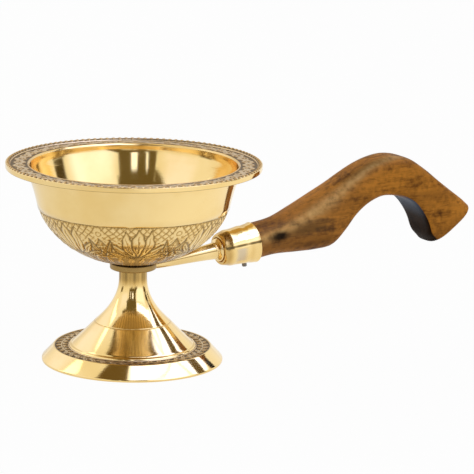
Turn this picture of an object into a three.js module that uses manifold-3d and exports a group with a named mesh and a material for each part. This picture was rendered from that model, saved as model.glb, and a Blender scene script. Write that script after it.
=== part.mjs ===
// Hand censer: a flanged brass bowl on a trumpet foot, with a carved wooden handle
// Millimetres, +Z up, standing on z = 0, handle along +X, centred under its own box
import * as THREE from 'three';
import { mergeVertices } from 'three/addons/utils/BufferGeometryUtils.js';
import Module from 'manifold-3d';

const wasm = await Module();
wasm.setup();

// Clearances between neighbouring pieces
const seatGap = 0.3;
const swivelGap = 0.1;
const boltRunningGap = 0.08;
const cutOverrun = 1.0;

// Foot: a hollow cone that spreads into a flat engraved ring and a sloping skirt
const footRadius = 39.2;
const footEdgeHeight = 0.9;
const footEdgeWidth = 1.7;
const footRingHeight = 6.3;
const footRingOuterRadius = 34.1;
const footRingInnerRadius = 27.5;
const footFilletWidth = 1.1;
const footFilletHeight = 0.9;
const footWall = 2.0;
const footWebThickness = 3.0;
const seamRadius = 16.4;
const seamHeight = 17.05;

// Stem: a trumpet that narrows from the seam to a straight neck
const neckRadius = 6.05;
const neckLength = 3.6;
const stemTopHeight = 40.1;
const stemSpigotRadius = 9.0;
const stemSpigotDepth = 1.2;
const trumpetNeckShare = 0.52;
const trumpetFlareShares = [0.283, 0.139];

// Centre bolt with its washer and nut, which clamp bowl, handle eye, stem and foot
const boltRadius = 3.0;
const boltHeadRadius = 6.5;
const boltHeadHeight = 3.4;
const boltHeadEdge = 1.2;
const boltSlotWidth = 1.3;
const boltSlotDepth = 1.4;
const boltTail = 1.0;
const washerRadius = 8.5;
const washerThickness = 1.2;
const nutAcrossFlats = 10.0;
const nutHeight = 5.0;
const nutChamfer = 0.8;

// Bowl: a round belly, a plain flaring band and a flat flange with a milled edge
const bossRadius = 8.0;
const bossHeight = 0.8;
const bellyRadius = 40.8;
const bellyHeight = 23.0;
const bellyFloorShare = 0.477;
const bellySideShares = [0.091, 0.443];
const bandStep = 0.35;
const bandHeight = 17.5;
const bandLeanShares = [0.42, 0.7];
const bowlWall = 2.0;
const innerSideShares = [0.132, 0.443];
const throatFullness = 0.5;
const throatRiseShare = 0.64;
const bandTopWall = 2.45;
const mouthRadius = 44.6;
const mouthLip = 0.6;
const flangeWidth = 10.4;
const rimPlateThickness = 1.65;
const rimEdgeSetback = 0.4;
const toothCount = 120;
const toothHeight = 0.95;
const toothNotchHeight = 0.2;
const toothRootWidth = 1.6;
const toothTipWidth = 1.0;
const toothSetback = 0.15;

// Handle arm: a flat eye on the bolt, a tapering rod, a bead and a tang in the wood
const eyeRadius = 10.1;
const eyeThickness = 2.8;
const eyeChamfer = 0.8;
const armSlope = 6.0;
const armRootReach = 7.0;
const armRootDrop = 1.1;
const armRootRadius = 1.2;
const armShoulderLength = 5.0;
const armShoulderRadius = 2.3;
const armWaistLength = 19.0;
const armWaistRadius = 2.75;
const armLength = 33.9;
const armEndRadius = 3.9;
const armBeadRadius = 5.2;
const armBeadLength = 3.0;
const tangRadius = 2.4;
const tangLength = 38.0;

// Ferrule: a domed sleeve over the front of the grip, with a cup that holds the bead
const ferruleLength = 17.2;
const ferruleWall = 0.9;
const ferruleCupDepth = 1.9;
const ferruleNoseRadius = 6.3;
const ferruleShoulderRadius = 8.2;
const ferruleShoulderLength = 3.8;
const ferruleMouthRadius = 9.0;

// Cross pin through the ferrule, the wood and the tang
const pinRadius = 1.05;
const pinProud = 1.4;
const pinSetback = 4.7;
const pinDepth = 15.0;

// Wooden grip: an S curve that rises from the ferrule and hooks down over the fingers
const gripNeckRadius = 8.0;
const gripNeckLift = 0.5;
const gripReach = 111.9;
const gripRise = 34.0;
const gripWidth = 19.5;
const gripEndRound = 3.8;

// Stations along the grip. Back and belly are places ahead of and above the centre of
// the ferrule's mouth, as shares of gripReach and gripRise. Width is a share of
// gripWidth, and square tells how far the section goes from round, which is 2
const gripStationShares = [
  { back: [0.09, 0.306], belly: [0.09, -0.182], width: 0.87, square: 2.0 },
  { back: [0.18, 0.426], belly: [0.184, -0.179], width: 0.95, square: 2.2 },
  { back: [0.269, 0.562], belly: [0.273, -0.174], width: 1.0, square: 2.4 },
  { back: [0.354, 0.694], belly: [0.345, -0.138], width: 1.0, square: 2.6 },
  { back: [0.425, 0.812], belly: [0.391, 0.009], width: 1.0, square: 2.8 },
  { back: [0.492, 0.909], belly: [0.433, 0.197], width: 1.0, square: 3.0 },
  { back: [0.559, 0.974], belly: [0.489, 0.356], width: 1.0, square: 3.2 },
  { back: [0.626, 0.994], belly: [0.564, 0.462], width: 1.0, square: 3.6 },
  { back: [0.698, 0.944], belly: [0.642, 0.456], width: 1.0, square: 4.0 },
  { back: [0.769, 0.797], belly: [0.707, 0.362], width: 1.02, square: 4.2 },
  { back: [0.836, 0.626], belly: [0.753, 0.197], width: 1.02, square: 4.4 },
  { back: [0.899, 0.471], belly: [0.78, 0.038], width: 1.02, square: 4.5 },
  { back: [0.96, 0.332], belly: [0.795, -0.126], width: 1.02, square: 3.8 },
  { back: [0.999, 0.232], belly: [0.812, -0.221], width: 1.0, square: 3.2 },
];

// Smoothness of the faceted surfaces
const bowlSegments = 60;
const footSegments = 48;
const stemSegments = 36;
const armSegments = 24;
const ferruleSegments = 32;
const boltSegments = 20;
const gripSectionSegments = 24;
const gripStepsPerStation = 2;
const endSteps = 4;
const curveSteps = 7;
const bandSteps = 4;

// Heights and radii that follow from the sizes above
const boltHoleRadius = boltRadius + seatGap;
const bandTopRadius = mouthRadius + bandTopWall;
const rimRadius = mouthRadius + flangeWidth;
const eyeBottomHeight = stemTopHeight + swivelGap;
const bossBottomHeight = eyeBottomHeight + eyeThickness + swivelGap;
const bowlBottomHeight = bossBottomHeight + bossHeight;
const bowlFloorHeight = bowlBottomHeight + bowlWall;
const bellyTopHeight = bowlBottomHeight + bellyHeight;
const bandTopHeight = bellyTopHeight + bandStep + bandHeight;
const rimPlateTopHeight = bandTopHeight + rimPlateThickness;
const webBottomHeight = seamHeight - footWebThickness;
const washerBottomHeight = webBottomHeight - washerThickness;
const nutBottomHeight = washerBottomHeight - nutHeight;
const boltEndHeight = nutBottomHeight - boltTail;
const armRootHeight = eyeBottomHeight + eyeThickness / 2 - armRootDrop;
const armSlopeAngle = THREE.MathUtils.degToRad(armSlope);
const tangStart = armLength + armBeadLength;
const cupFloor = tangStart + seatGap;
const ferruleStart = cupFloor - ferruleCupDepth;
const ferruleEnd = ferruleStart + ferruleLength;
const cupRadius = armBeadRadius + seatGap;

// Points of a smooth curve between two ends
function sweep(curve, steps = curveSteps) {
  return curve.getPoints(steps);
}

function point(x, y) {
  return new THREE.Vector2(x, y);
}

// A geometry as one closed solid, with its faces turned outwards
function solidOf(geometry) {
  const bare = geometry.clone();
  bare.deleteAttribute('normal');
  bare.deleteAttribute('uv');
  const merged = mergeVertices(bare);
  const corners = merged.getIndex().array;
  const places = merged.getAttribute('position').array;
  const triangles = [];
  for (let i = 0; i < corners.length; i += 3) {
    const [a, b, c] = [corners[i], corners[i + 1], corners[i + 2]];
    if (a !== b && b !== c && c !== a) {
      triangles.push(a, b, c);
    }
  }
  if (signedVolume(places, triangles) < 0) {
    triangles.reverse();
  }
  return new wasm.Manifold(new wasm.Mesh({
    numProp: 3,
    vertProperties: new Float32Array(places),
    triVerts: new Uint32Array(triangles),
  }));
}

function signedVolume(places, triangles) {
  const corner = (i) => new THREE.Vector3().fromArray(places, triangles[i] * 3);
  let total = 0;
  for (let i = 0; i < triangles.length; i += 3) {
    total += corner(i).dot(corner(i + 1).cross(corner(i + 2))) / 6;
  }
  return total;
}

function geometryOf(solid) {
  const mesh = solid.getMesh();
  const geometry = new THREE.BufferGeometry();
  geometry.setAttribute('position', new THREE.BufferAttribute(mesh.vertProperties, 3));
  geometry.setIndex(new THREE.BufferAttribute(mesh.triVerts, 1));
  return geometry;
}

// A profile of radius and height, turned about the vertical axis
function turned(profile, segments) {
  return new THREE.LatheGeometry(profile, segments).rotateX(Math.PI / 2);
}

// A turned ring whose profile closes on itself
function turnedRing(profile, segments) {
  return turned([...profile, profile[0].clone()], segments);
}

// A round bar between two heights
function bar(radius, bottom, top, segments) {
  const profile = [point(0, bottom), point(radius, bottom), point(radius, top), point(0, top)];
  return turned(profile, segments);
}

// Moves a shape turned about the vertical axis onto the sloping axis of the arm
function alongArm(geometry) {
  return geometry
    .rotateY(Math.PI / 2 - armSlopeAngle)
    .translate(armRootReach, 0, armRootHeight);
}

// A place in the handle's own upright plane, given along and above the arm's axis
function armPoint(along, above) {
  const cosine = Math.cos(armSlopeAngle);
  const sine = Math.sin(armSlopeAngle);
  return point(
    armRootReach + along * cosine - above * sine,
    armRootHeight + along * sine + above * cosine,
  );
}

const brass = { color: 0xd9b45c, roughness: 0.2, metalness: 1.0 };
const dullBrass = { color: 0xa88a45, roughness: 0.35, metalness: 1.0 };
const steel = { color: 0x6f6a62, roughness: 0.45, metalness: 1.0 };
const wood = { color: 0x96582a, roughness: 0.4, metalness: 0.0 };

function piece(name, solid, finish) {
  const mesh = new THREE.Mesh(geometryOf(solid), new THREE.MeshStandardMaterial(finish));
  mesh.name = name;
  return mesh;
}

// Outer profile of the bowl from the edge of its boss up to the underside of the flange
function bowlOuterProfile() {
  const belly = bellyCurve(bowlBottomHeight, bellyRadius, bellySideShares);
  const bandRadius = bellyRadius + bandStep;
  const band = bandCurve(bandRadius, bellyTopHeight + bandStep, bandTopRadius, bandTopHeight);
  return [...sweep(belly), ...sweep(band, bandSteps)];
}

// The belly starts flat at the boss and ends steep at the foot of the plain band
function bellyCurve(floor, radius, sideShares) {
  const width = radius - bossRadius;
  const depth = bellyTopHeight - floor;
  const [sideInShare, sideDownShare] = sideShares;
  return new THREE.CubicBezierCurve(
    point(bossRadius, floor),
    point(bossRadius + width * bellyFloorShare, floor),
    point(radius - width * sideInShare, bellyTopHeight - depth * sideDownShare),
    point(radius, bellyTopHeight),
  );
}

// The plain band leans out slowly, then turns out into the flange
function bandCurve(radius, height, topRadius, topHeight) {
  const [leanShare, riseShare] = bandLeanShares;
  return new THREE.QuadraticBezierCurve(
    point(radius, height),
    point(radius + (topRadius - radius) * leanShare, height + (topHeight - height) * riseShare),
    point(topRadius, topHeight),
  );
}

// Inner profile of the bowl from the mouth down to its flat floor. The wall bends further out
// than the band does, so that it stands nearly upright at the mouth
function bowlInnerProfile() {
  const innerRadius = bellyRadius - bowlWall;
  const bandRadius = bellyRadius + bandStep;
  const bandBendRadius = bandRadius + (bandTopRadius - bandRadius) * bandLeanShares[0];
  const throatHeight = rimPlateTopHeight - mouthLip;
  const throatRise = throatHeight - bellyTopHeight;
  const wall = new THREE.QuadraticBezierCurve(
    point(innerRadius, bellyTopHeight),
    point(bandBendRadius + throatFullness, bellyTopHeight + throatRise * throatRiseShare),
    point(mouthRadius, throatHeight),
  );
  const belly = bellyCurve(bowlFloorHeight, innerRadius, innerSideShares);
  return [...sweep(wall, bandSteps).reverse(), ...sweep(belly).reverse().slice(1)];
}

// Flat flange with a softened lower edge and a small bevel at the mouth
function flangeProfile() {
  return [
    point(rimRadius - rimEdgeSetback, bandTopHeight),
    point(rimRadius, bandTopHeight + rimEdgeSetback),
    point(rimRadius, rimPlateTopHeight),
    point(mouthRadius + mouthLip, rimPlateTopHeight),
  ];
}

// Milled edge: a low ring on the flange, notched all round into teeth
function rimTeeth() {
  const middle = rimRadius - toothSetback - toothRootWidth / 2;
  const rootHalf = toothRootWidth / 2;
  const tipHalf = toothTipWidth / 2;
  const sections = [];
  for (let i = 0; i < 2 * toothCount; i += 1) {
    const turn = (i / toothCount) * Math.PI;
    const top = rimPlateTopHeight + (i % 2 === 0 ? toothHeight : toothNotchHeight);
    const corner = (radius, height) => new THREE.Vector3(
      radius * Math.cos(turn),
      radius * Math.sin(turn),
      height,
    );
    sections.push([
      corner(middle - rootHalf, rimPlateTopHeight - toothNotchHeight),
      corner(middle + rootHalf, rimPlateTopHeight - toothNotchHeight),
      corner(middle + tipHalf, top),
      corner(middle - tipHalf, top),
    ]);
  }
  return solidOf(closedBelt(sections));
}

// Joins sections that stand round a circle into one closed belt
function closedBelt(sections) {
  const count = sections[0].length;
  const triangles = [];
  for (let i = 0; i < sections.length; i += 1) {
    const here = i * count;
    const next = ((i + 1) % sections.length) * count;
    for (let k = 0; k < count; k += 1) {
      const up = (k + 1) % count;
      triangles.push(here + k, next + k, next + up, here + k, next + up, here + up);
    }
  }
  return new THREE.BufferGeometry().setFromPoints(sections.flat()).setIndex(triangles);
}

function makeBowl() {
  const profile = [
    point(boltHoleRadius, bossBottomHeight),
    point(bossRadius, bossBottomHeight),
    ...bowlOuterProfile(),
    ...flangeProfile(),
    ...bowlInnerProfile(),
    point(boltHoleRadius, bowlFloorHeight),
  ];
  return piece('bowl', solidOf(turnedRing(profile, bowlSegments)).add(rimTeeth()), brass);
}

function makeStem() {
  const trumpetHeight = stemTopHeight - neckLength - seamHeight;
  const trumpetSpread = seamRadius - neckRadius;
  const [flareInShare, flareUpShare] = trumpetFlareShares;
  const trumpet = new THREE.CubicBezierCurve(
    point(seamRadius, seamHeight),
    point(seamRadius - trumpetSpread * flareInShare, seamHeight + trumpetHeight * flareUpShare),
    point(neckRadius, seamHeight + trumpetHeight * (1 - trumpetNeckShare)),
    point(neckRadius, seamHeight + trumpetHeight),
  );
  const profile = [
    point(boltHoleRadius, seamHeight - stemSpigotDepth),
    point(stemSpigotRadius, seamHeight - stemSpigotDepth),
    point(stemSpigotRadius, seamHeight),
    ...sweep(trumpet, curveSteps + endSteps),
    point(neckRadius, stemTopHeight),
    point(boltHoleRadius, stemTopHeight),
  ];
  return piece('stem', solidOf(turnedRing(profile, stemSegments)), brass);
}

function makeFoot() {
  const coneBaseRadius = footRingInnerRadius - footFilletWidth;
  const coneBaseHeight = footRingHeight + footFilletHeight;
  const coneSlope = (coneBaseRadius - seamRadius) / (seamHeight - coneBaseHeight);
  const coneWall = footWall * Math.hypot(1, coneSlope);
  const ceiling = footRingHeight - footWall;
  const innerConeRadius = (height) => seamRadius + (seamHeight - height) * coneSlope - coneWall;
  const spigotFloor = seamHeight - stemSpigotDepth - seatGap;
  const profile = [
    point(footRadius, 0),
    point(footRadius, footEdgeHeight),
    point(footRingOuterRadius, footRingHeight),
    point(footRingInnerRadius, footRingHeight),
    point(footRingInnerRadius - footFilletWidth / 2, footRingHeight + footFilletHeight / 2),
    point(coneBaseRadius, coneBaseHeight),
    point(seamRadius, seamHeight),
    point(stemSpigotRadius + seatGap, seamHeight),
    point(stemSpigotRadius + seatGap, spigotFloor),
    point(boltHoleRadius, spigotFloor),
    point(boltHoleRadius, webBottomHeight),
    point(innerConeRadius(webBottomHeight), webBottomHeight),
    point(innerConeRadius(ceiling), ceiling),
    point(footRingOuterRadius - footWall, ceiling),
    point(footRadius - footEdgeWidth, 0),
  ];
  return piece('foot_base', solidOf(turnedRing(profile, footSegments)), brass);
}

// Domed bolt head with a driving slot, and a plain shank down to the nut
function makeBolt() {
  const headEdgeHeight = bowlFloorHeight + boltHeadEdge;
  const dome = new THREE.QuadraticBezierCurve(
    point(boltHeadRadius, headEdgeHeight),
    point(boltHeadRadius - boltHeadEdge, bowlFloorHeight + boltHeadHeight),
    point(0, bowlFloorHeight + boltHeadHeight),
  );
  const profile = [
    point(0, boltEndHeight),
    point(boltRadius, boltEndHeight),
    point(boltRadius, bowlFloorHeight),
    point(boltHeadRadius, bowlFloorHeight),
    ...sweep(dome, endSteps),
  ];
  const slot = new THREE.BoxGeometry(
    2 * boltHeadRadius + cutOverrun,
    boltSlotWidth,
    2 * boltSlotDepth,
  ).translate(0, 0, bowlFloorHeight + boltHeadHeight);
  return piece('centre_bolt', solidOf(turned(profile, boltSegments)).subtract(solidOf(slot)), brass);
}

function makeWasher() {
  const profile = [
    point(boltHoleRadius, washerBottomHeight),
    point(washerRadius, washerBottomHeight),
    point(washerRadius, webBottomHeight),
    point(boltHoleRadius, webBottomHeight),
  ];
  return piece('foot_washer', solidOf(turnedRing(profile, boltSegments)), steel);
}

// Six-sided nut whose corners are turned off by a cone below
function makeNut() {
  const cornerRadius = nutAcrossFlats / 2 / Math.cos(Math.PI / 6);
  const hexagon = solidOf(bar(cornerRadius, nutBottomHeight, washerBottomHeight, 6));
  const blank = solidOf(turned([
    point(0, nutBottomHeight),
    point(nutAcrossFlats / 2, nutBottomHeight),
    point(nutAcrossFlats / 2 + nutChamfer, nutBottomHeight + nutChamfer),
    point(nutAcrossFlats / 2 + nutChamfer, washerBottomHeight + cutOverrun),
    point(0, washerBottomHeight + cutOverrun),
  ], boltSegments));
  const bore = solidOf(bar(
    boltHoleRadius,
    nutBottomHeight - cutOverrun,
    washerBottomHeight + cutOverrun,
    boltSegments,
  ));
  return piece('foot_nut', hexagon.intersect(blank).subtract(bore), steel);
}

// Bar for the cross pin, standing square to the arm's axis
function crossBar(radius, below, above) {
  const setBack = ferruleEnd - pinSetback;
  return solidOf(alongArm(
    bar(radius, -below, above, boltSegments / 2).rotateY(-Math.PI / 2).translate(0, 0, setBack),
  ));
}

function ferruleRadiusAt(along) {
  const start = ferruleStart + ferruleShoulderLength;
  const share = (along - start) / (ferruleEnd - start);
  return ferruleShoulderRadius + (ferruleMouthRadius - ferruleShoulderRadius) * share;
}

function makePin() {
  const below = ferruleRadiusAt(ferruleEnd - pinSetback) + pinProud;
  return piece('ferrule_pin', crossBar(pinRadius, below, pinDepth - below), steel);
}

function pinHole() {
  const below = ferruleMouthRadius + pinProud + cutOverrun;
  const above = pinDepth - ferruleRadiusAt(ferruleEnd - pinSetback) - pinProud + seatGap;
  return crossBar(pinRadius + seatGap, below, above);
}

// Round bead between rod and ferrule: half an ellipse over the rod's end
function armBead() {
  const bead = [];
  for (let i = 0; i <= curveSteps; i += 1) {
    const angle = (i / curveSteps) * Math.PI;
    bead.push(point(
      armEndRadius + (armBeadRadius - armEndRadius) * Math.sin(angle),
      armLength + (armBeadLength / 2) * (1 - Math.cos(angle)),
    ));
  }
  return bead;
}

function makeArm() {
  const eye = turnedRing([
    point(boltRadius + boltRunningGap, eyeBottomHeight),
    point(eyeRadius - eyeChamfer, eyeBottomHeight),
    point(eyeRadius, eyeBottomHeight + eyeChamfer),
    point(eyeRadius, eyeBottomHeight + eyeThickness),
    point(boltRadius + boltRunningGap, eyeBottomHeight + eyeThickness),
  ], 2 * armSegments);
  const rod = turned([
    point(0, 0),
    point(armRootRadius, 0),
    point(armShoulderRadius, armShoulderLength),
    point(armWaistRadius, armWaistLength),
    ...armBead(),
    point(tangRadius, tangStart),
    point(tangRadius, tangStart + tangLength - tangRadius / 2),
    point(tangRadius / 2, tangStart + tangLength),
    point(0, tangStart + tangLength),
  ], armSegments);
  const arm = solidOf(eye).add(solidOf(alongArm(rod))).subtract(pinHole());
  return piece('handle_arm', arm, dullBrass);
}

function makeFerrule() {
  const shoulder = new THREE.QuadraticBezierCurve(
    point(ferruleNoseRadius, ferruleStart),
    point(ferruleShoulderRadius - ferruleWall / 2, ferruleStart + ferruleWall / 2),
    point(ferruleShoulderRadius, ferruleStart + ferruleShoulderLength),
  );
  const hole = tangRadius + seatGap;
  const profile = [
    point(hole, cupFloor),
    point(cupRadius, cupFloor),
    point(cupRadius, ferruleStart),
    ...sweep(shoulder, endSteps),
    point(ferruleMouthRadius, ferruleEnd),
    point(ferruleMouthRadius - ferruleWall, ferruleEnd),
    point(ferruleShoulderRadius - ferruleWall, ferruleStart + ferruleShoulderLength),
    point(cupRadius, cupFloor + ferruleWall),
    point(hole, cupFloor + ferruleWall),
  ];
  const sleeve = solidOf(alongArm(turnedRing(profile, ferruleSegments)));
  return piece('ferrule', sleeve.subtract(pinHole()), brass);
}

// Back, belly and section of the grip as smooth curves through its stations
function gripCurves() {
  const mouth = armPoint(ferruleEnd, 0);
  const place = ([ahead, above]) => new THREE.Vector3(
    mouth.x + ahead * gripReach,
    0,
    mouth.y + above * gripRise,
  );
  const neck = (above) => {
    const { x, y } = armPoint(ferruleEnd + seatGap, above);
    return new THREE.Vector3(x, 0, y);
  };
  const section = (station) => new THREE.Vector3(station.width * gripWidth / 2, station.square, 0);
  const stations = gripStationShares;
  return {
    back: new THREE.CatmullRomCurve3([
      neck(gripNeckLift + gripNeckRadius),
      ...stations.map((station) => place(station.back)),
    ]),
    belly: new THREE.CatmullRomCurve3([
      neck(gripNeckLift - gripNeckRadius),
      ...stations.map((station) => place(station.belly)),
    ]),
    section: new THREE.CatmullRomCurve3([
      new THREE.Vector3(gripNeckRadius, 2, 0),
      ...stations.map(section),
    ]),
  };
}

// One closed section: a rounded square between back and belly, drawn in to a share of
// its size and moved out along the grip's end
function gripSection(curves, along, sizeShare, outward) {
  const back = curves.back.getPoint(along);
  const belly = curves.belly.getPoint(along);
  const { x: halfWidth, y: square } = curves.section.getPoint(along);
  const middle = back.clone().add(belly).multiplyScalar(0.5);
  const halfDepth = back.clone().sub(belly).multiplyScalar(0.5);
  const outside = new THREE.Vector3(halfDepth.z, 0, -halfDepth.x).normalize();
  middle.addScaledVector(outside, outward);
  const round = (value) => Math.sign(value) * Math.abs(value) ** (2 / square);
  const ring = [];
  for (let i = 0; i < gripSectionSegments; i += 1) {
    const angle = (i / gripSectionSegments) * 2 * Math.PI;
    const corner = middle.clone().addScaledVector(halfDepth, round(Math.cos(angle)) * sizeShare);
    corner.y += round(Math.sin(angle)) * halfWidth * sizeShare;
    ring.push(corner);
  }
  return { ring, middle };
}

// The carved grip: sections from the ferrule to the tip, closed by a rounded end
function gripLoft() {
  const curves = gripCurves();
  const steps = gripStationShares.length * gripStepsPerStation;
  const sections = [];
  for (let i = 0; i <= steps; i += 1) {
    sections.push(gripSection(curves, i / steps, 1, 0));
  }
  for (let i = 1; i < endSteps; i += 1) {
    const angle = (i / endSteps) * (Math.PI / 2);
    sections.push(gripSection(curves, 1, Math.cos(angle), gripEndRound * Math.sin(angle)));
  }
  const tip = gripSection(curves, 1, 0, gripEndRound).middle;
  return closedLoft(sections.map(({ ring }) => ring), sections[0].middle, tip);
}

// Joins rings of equal count into one closed skin with a fan at each end
function closedLoft(rings, start, tip) {
  const count = rings[0].length;
  const corners = [...rings.flat(), start, tip];
  const startIndex = rings.length * count;
  const triangles = [];
  for (let i = 0; i < count; i += 1) {
    const next = (i + 1) % count;
    triangles.push(startIndex, next, i);
    for (let ring = 0; ring < rings.length - 1; ring += 1) {
      const [low, high] = [ring * count, (ring + 1) * count];
      triangles.push(low + i, low + next, high + next, low + i, high + next, high + i);
    }
    const last = (rings.length - 1) * count;
    triangles.push(last + i, last + next, startIndex + 1);
  }
  const geometry = new THREE.BufferGeometry().setFromPoints(corners);
  return geometry.setIndex(triangles);
}

// The grip's front is turned down to a spigot inside the ferrule and bored for the tang
function makeGrip() {
  const spigotStart = cupFloor + ferruleWall + seatGap;
  const spigotShoulder = ferruleStart + ferruleShoulderLength;
  const lining = ferruleWall + seatGap;
  const spigot = solidOf(alongArm(turned([
    point(0, spigotStart),
    point(cupRadius - seatGap, spigotStart),
    point(ferruleShoulderRadius - lining, spigotShoulder + seatGap),
    point(ferruleMouthRadius - lining, ferruleEnd),
    point(ferruleMouthRadius - lining, ferruleEnd + cutOverrun),
    point(0, ferruleEnd + cutOverrun),
  ], ferruleSegments)));
  const tangHole = solidOf(alongArm(bar(
    tangRadius + seatGap,
    spigotStart - cutOverrun,
    tangStart + tangLength + seatGap,
    armSegments,
  )));
  const blank = solidOf(gripLoft()).add(spigot);
  return piece('wooden_grip', blank.subtract(tangHole).subtract(pinHole()), wood);
}

// The stand and the handle, moved so that the origin lies under the middle of the box
function makeCenser() {
  const stand = new THREE.Group();
  stand.add(makeBowl(), makeStem(), makeFoot(), makeBolt(), makeWasher(), makeNut());
  const handle = new THREE.Group();
  handle.add(makeArm(), makeFerrule(), makePin(), makeGrip());
  const censer = new THREE.Group();
  censer.add(stand, handle);
  const box = new THREE.Box3().setFromObject(censer);
  censer.position.x = -box.getCenter(new THREE.Vector3()).x;
  return censer;
}

export default makeCenser();
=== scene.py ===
"""Hand censer: an engraved brass bowl on a trumpet foot, with a carved wooden grip.

Sizes are millimetres from the stem's axis and the floor. A piece is turned into metres, in the
row's own frame, when its corners are placed.
"""
import math

import bpy
import numpy as np
from mathutils import Matrix, Vector


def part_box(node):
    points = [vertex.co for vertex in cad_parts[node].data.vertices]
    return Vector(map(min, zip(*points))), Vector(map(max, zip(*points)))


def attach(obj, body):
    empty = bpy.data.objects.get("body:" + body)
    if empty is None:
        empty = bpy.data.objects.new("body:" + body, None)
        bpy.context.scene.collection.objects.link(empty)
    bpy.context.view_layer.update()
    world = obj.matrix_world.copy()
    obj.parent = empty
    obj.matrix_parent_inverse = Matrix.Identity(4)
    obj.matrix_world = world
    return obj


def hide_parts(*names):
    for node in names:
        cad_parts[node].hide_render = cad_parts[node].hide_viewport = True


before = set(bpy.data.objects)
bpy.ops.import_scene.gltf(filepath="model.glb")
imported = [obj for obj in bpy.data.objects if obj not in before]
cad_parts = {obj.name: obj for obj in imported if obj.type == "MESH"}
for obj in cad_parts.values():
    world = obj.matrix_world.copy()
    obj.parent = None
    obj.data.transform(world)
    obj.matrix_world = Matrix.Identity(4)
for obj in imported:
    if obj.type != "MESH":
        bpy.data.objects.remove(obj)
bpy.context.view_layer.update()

MM = 0.001

# Places and sizes that follow from the frame
bowl_low, bowl_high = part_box("bowl")
foot_low, foot_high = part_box("foot_base")
stem_low, stem_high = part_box("stem")
STEM_X = (bowl_low.x + bowl_high.x) / 2
RIM_RADIUS = (bowl_high.x - bowl_low.x) / 2 / MM
TOOTH_TOP = bowl_high.z / MM
BOSS_BOTTOM = bowl_low.z / MM
FOOT_RADIUS = (foot_high.x - foot_low.x) / 2 / MM
SEAM_HEIGHT = foot_high.z / MM
STEM_TOP = stem_high.z / MM
SPIGOT_BOTTOM = stem_low.z / MM

# Bowl
BOLT_HOLE = 3.3
BOSS_RADIUS = 8.0
BOSS_HEIGHT = 0.8
BOSS_ROUND = 0.25
BELLY_RADIUS = 40.8
BELLY_HEIGHT = 23.0
BELLY_FLOOR_SHARE = 0.477
BELLY_SIDE_SHARES = (0.091, 0.443)
BELLY_ROWS = 82
BELLY_COARSE_ROWS = 24
BAND_STEP = 0.35
BAND_HEIGHT = 17.5
BAND_TOP_RADIUS = 47.05
BAND_LEAN_SHARES = (0.42, 0.7)
BOWL_WALL = 2.0
MOUTH_RADIUS = 44.6
MOUTH_LIP = 0.6
LIP_ROUND = 0.06
THROAT_FULLNESS = 0.5
THROAT_RISE_SHARE = 0.64
THROAT_UPRIGHT = 5.0
THROAT_LEAN = 0.05
INNER_SIDE_SHARES = (0.132, 0.443)
PLATE_THICKNESS = 1.65
RIM_CREST = 0.5
RIM_ROUND = 0.35
VINE_GAP = 0.15
TOOTH_COUNT = 120
TOOTH_ROOT = 0.2
TOOTH_INNER_RADIUS = 53.25
# Rows across the milled edge: radius, share of a tooth's height, and how much painted shade the row has
TOOTH_ROWS = np.array([
    (54.5, 0.72, 0.0), (54.2, 1.0, 0.15), (53.8, 1.0, 0.3), (53.4, 0.75, 0.5), (53.15, 0.1, 0.8)])
BOWL_BOTTOM = BOSS_BOTTOM + BOSS_HEIGHT
BELLY_TOP = BOWL_BOTTOM + BELLY_HEIGHT
BAND_TOP = BELLY_TOP + BAND_STEP + BAND_HEIGHT
PLATE_TOP = BAND_TOP + PLATE_THICKNESS
BOWL_FLOOR = BOWL_BOTTOM + BOWL_WALL
THROAT = PLATE_TOP - MOUTH_LIP
MOUTH_EDGE = MOUTH_RADIUS + MOUTH_LIP
VINE_OUTER = TOOTH_INNER_RADIUS - VINE_GAP
BAND_FOOT = (BELLY_RADIUS + BAND_STEP, BELLY_TOP + BAND_STEP)

# Foot and stem
SEAM_RADIUS = 16.4
RING_HEIGHT = 6.3
RING_OUTER_RADIUS = 34.1
RING_INNER_RADIUS = 27.5
LAUREL_OUTER = RING_OUTER_RADIUS - 0.35
FILLET_WIDTH = 1.1
FILLET_HEIGHT = 0.9
CONE_WAIST_SHARE = 0.35
CONE_HOLLOW = 0.2
FOOT_EDGE = 0.9
FOOT_WALL = 2.0
REST_WIDTH = 1.7
WEB_BOTTOM = 14.05
SPIGOT_RADIUS = 9.0
SPIGOT_GAP = 0.3
NECK_RADIUS = 6.05
NECK_LENGTH = 3.6
TRUMPET_NECK_SHARE = 0.52
TRUMPET_FLARE_SHARES = (0.283, 0.139)
STEM_DENT = 0.02

# Bolt and washer
BOLT_RADIUS = 3.0
HEAD_EDGE = 1.2
SLOT_DEPTH = 1.4
SLOT_HALF_WIDTHS = (0.6, 0.7)

# Arm, with distances along its sloping axis
EYE_RADIUS = 10.1
EYE_BOTTOM = 40.2
EYE_THICKNESS = 2.8
EYE_TOP = EYE_BOTTOM + EYE_THICKNESS
EYE_BORE = BOLT_RADIUS + 0.08
EYE_FILING = 0.05
ARM_SLOPE = math.radians(6.0)
ARM_ROOT = (7.0, 40.5)
ARM_LENGTH = 33.9
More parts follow.
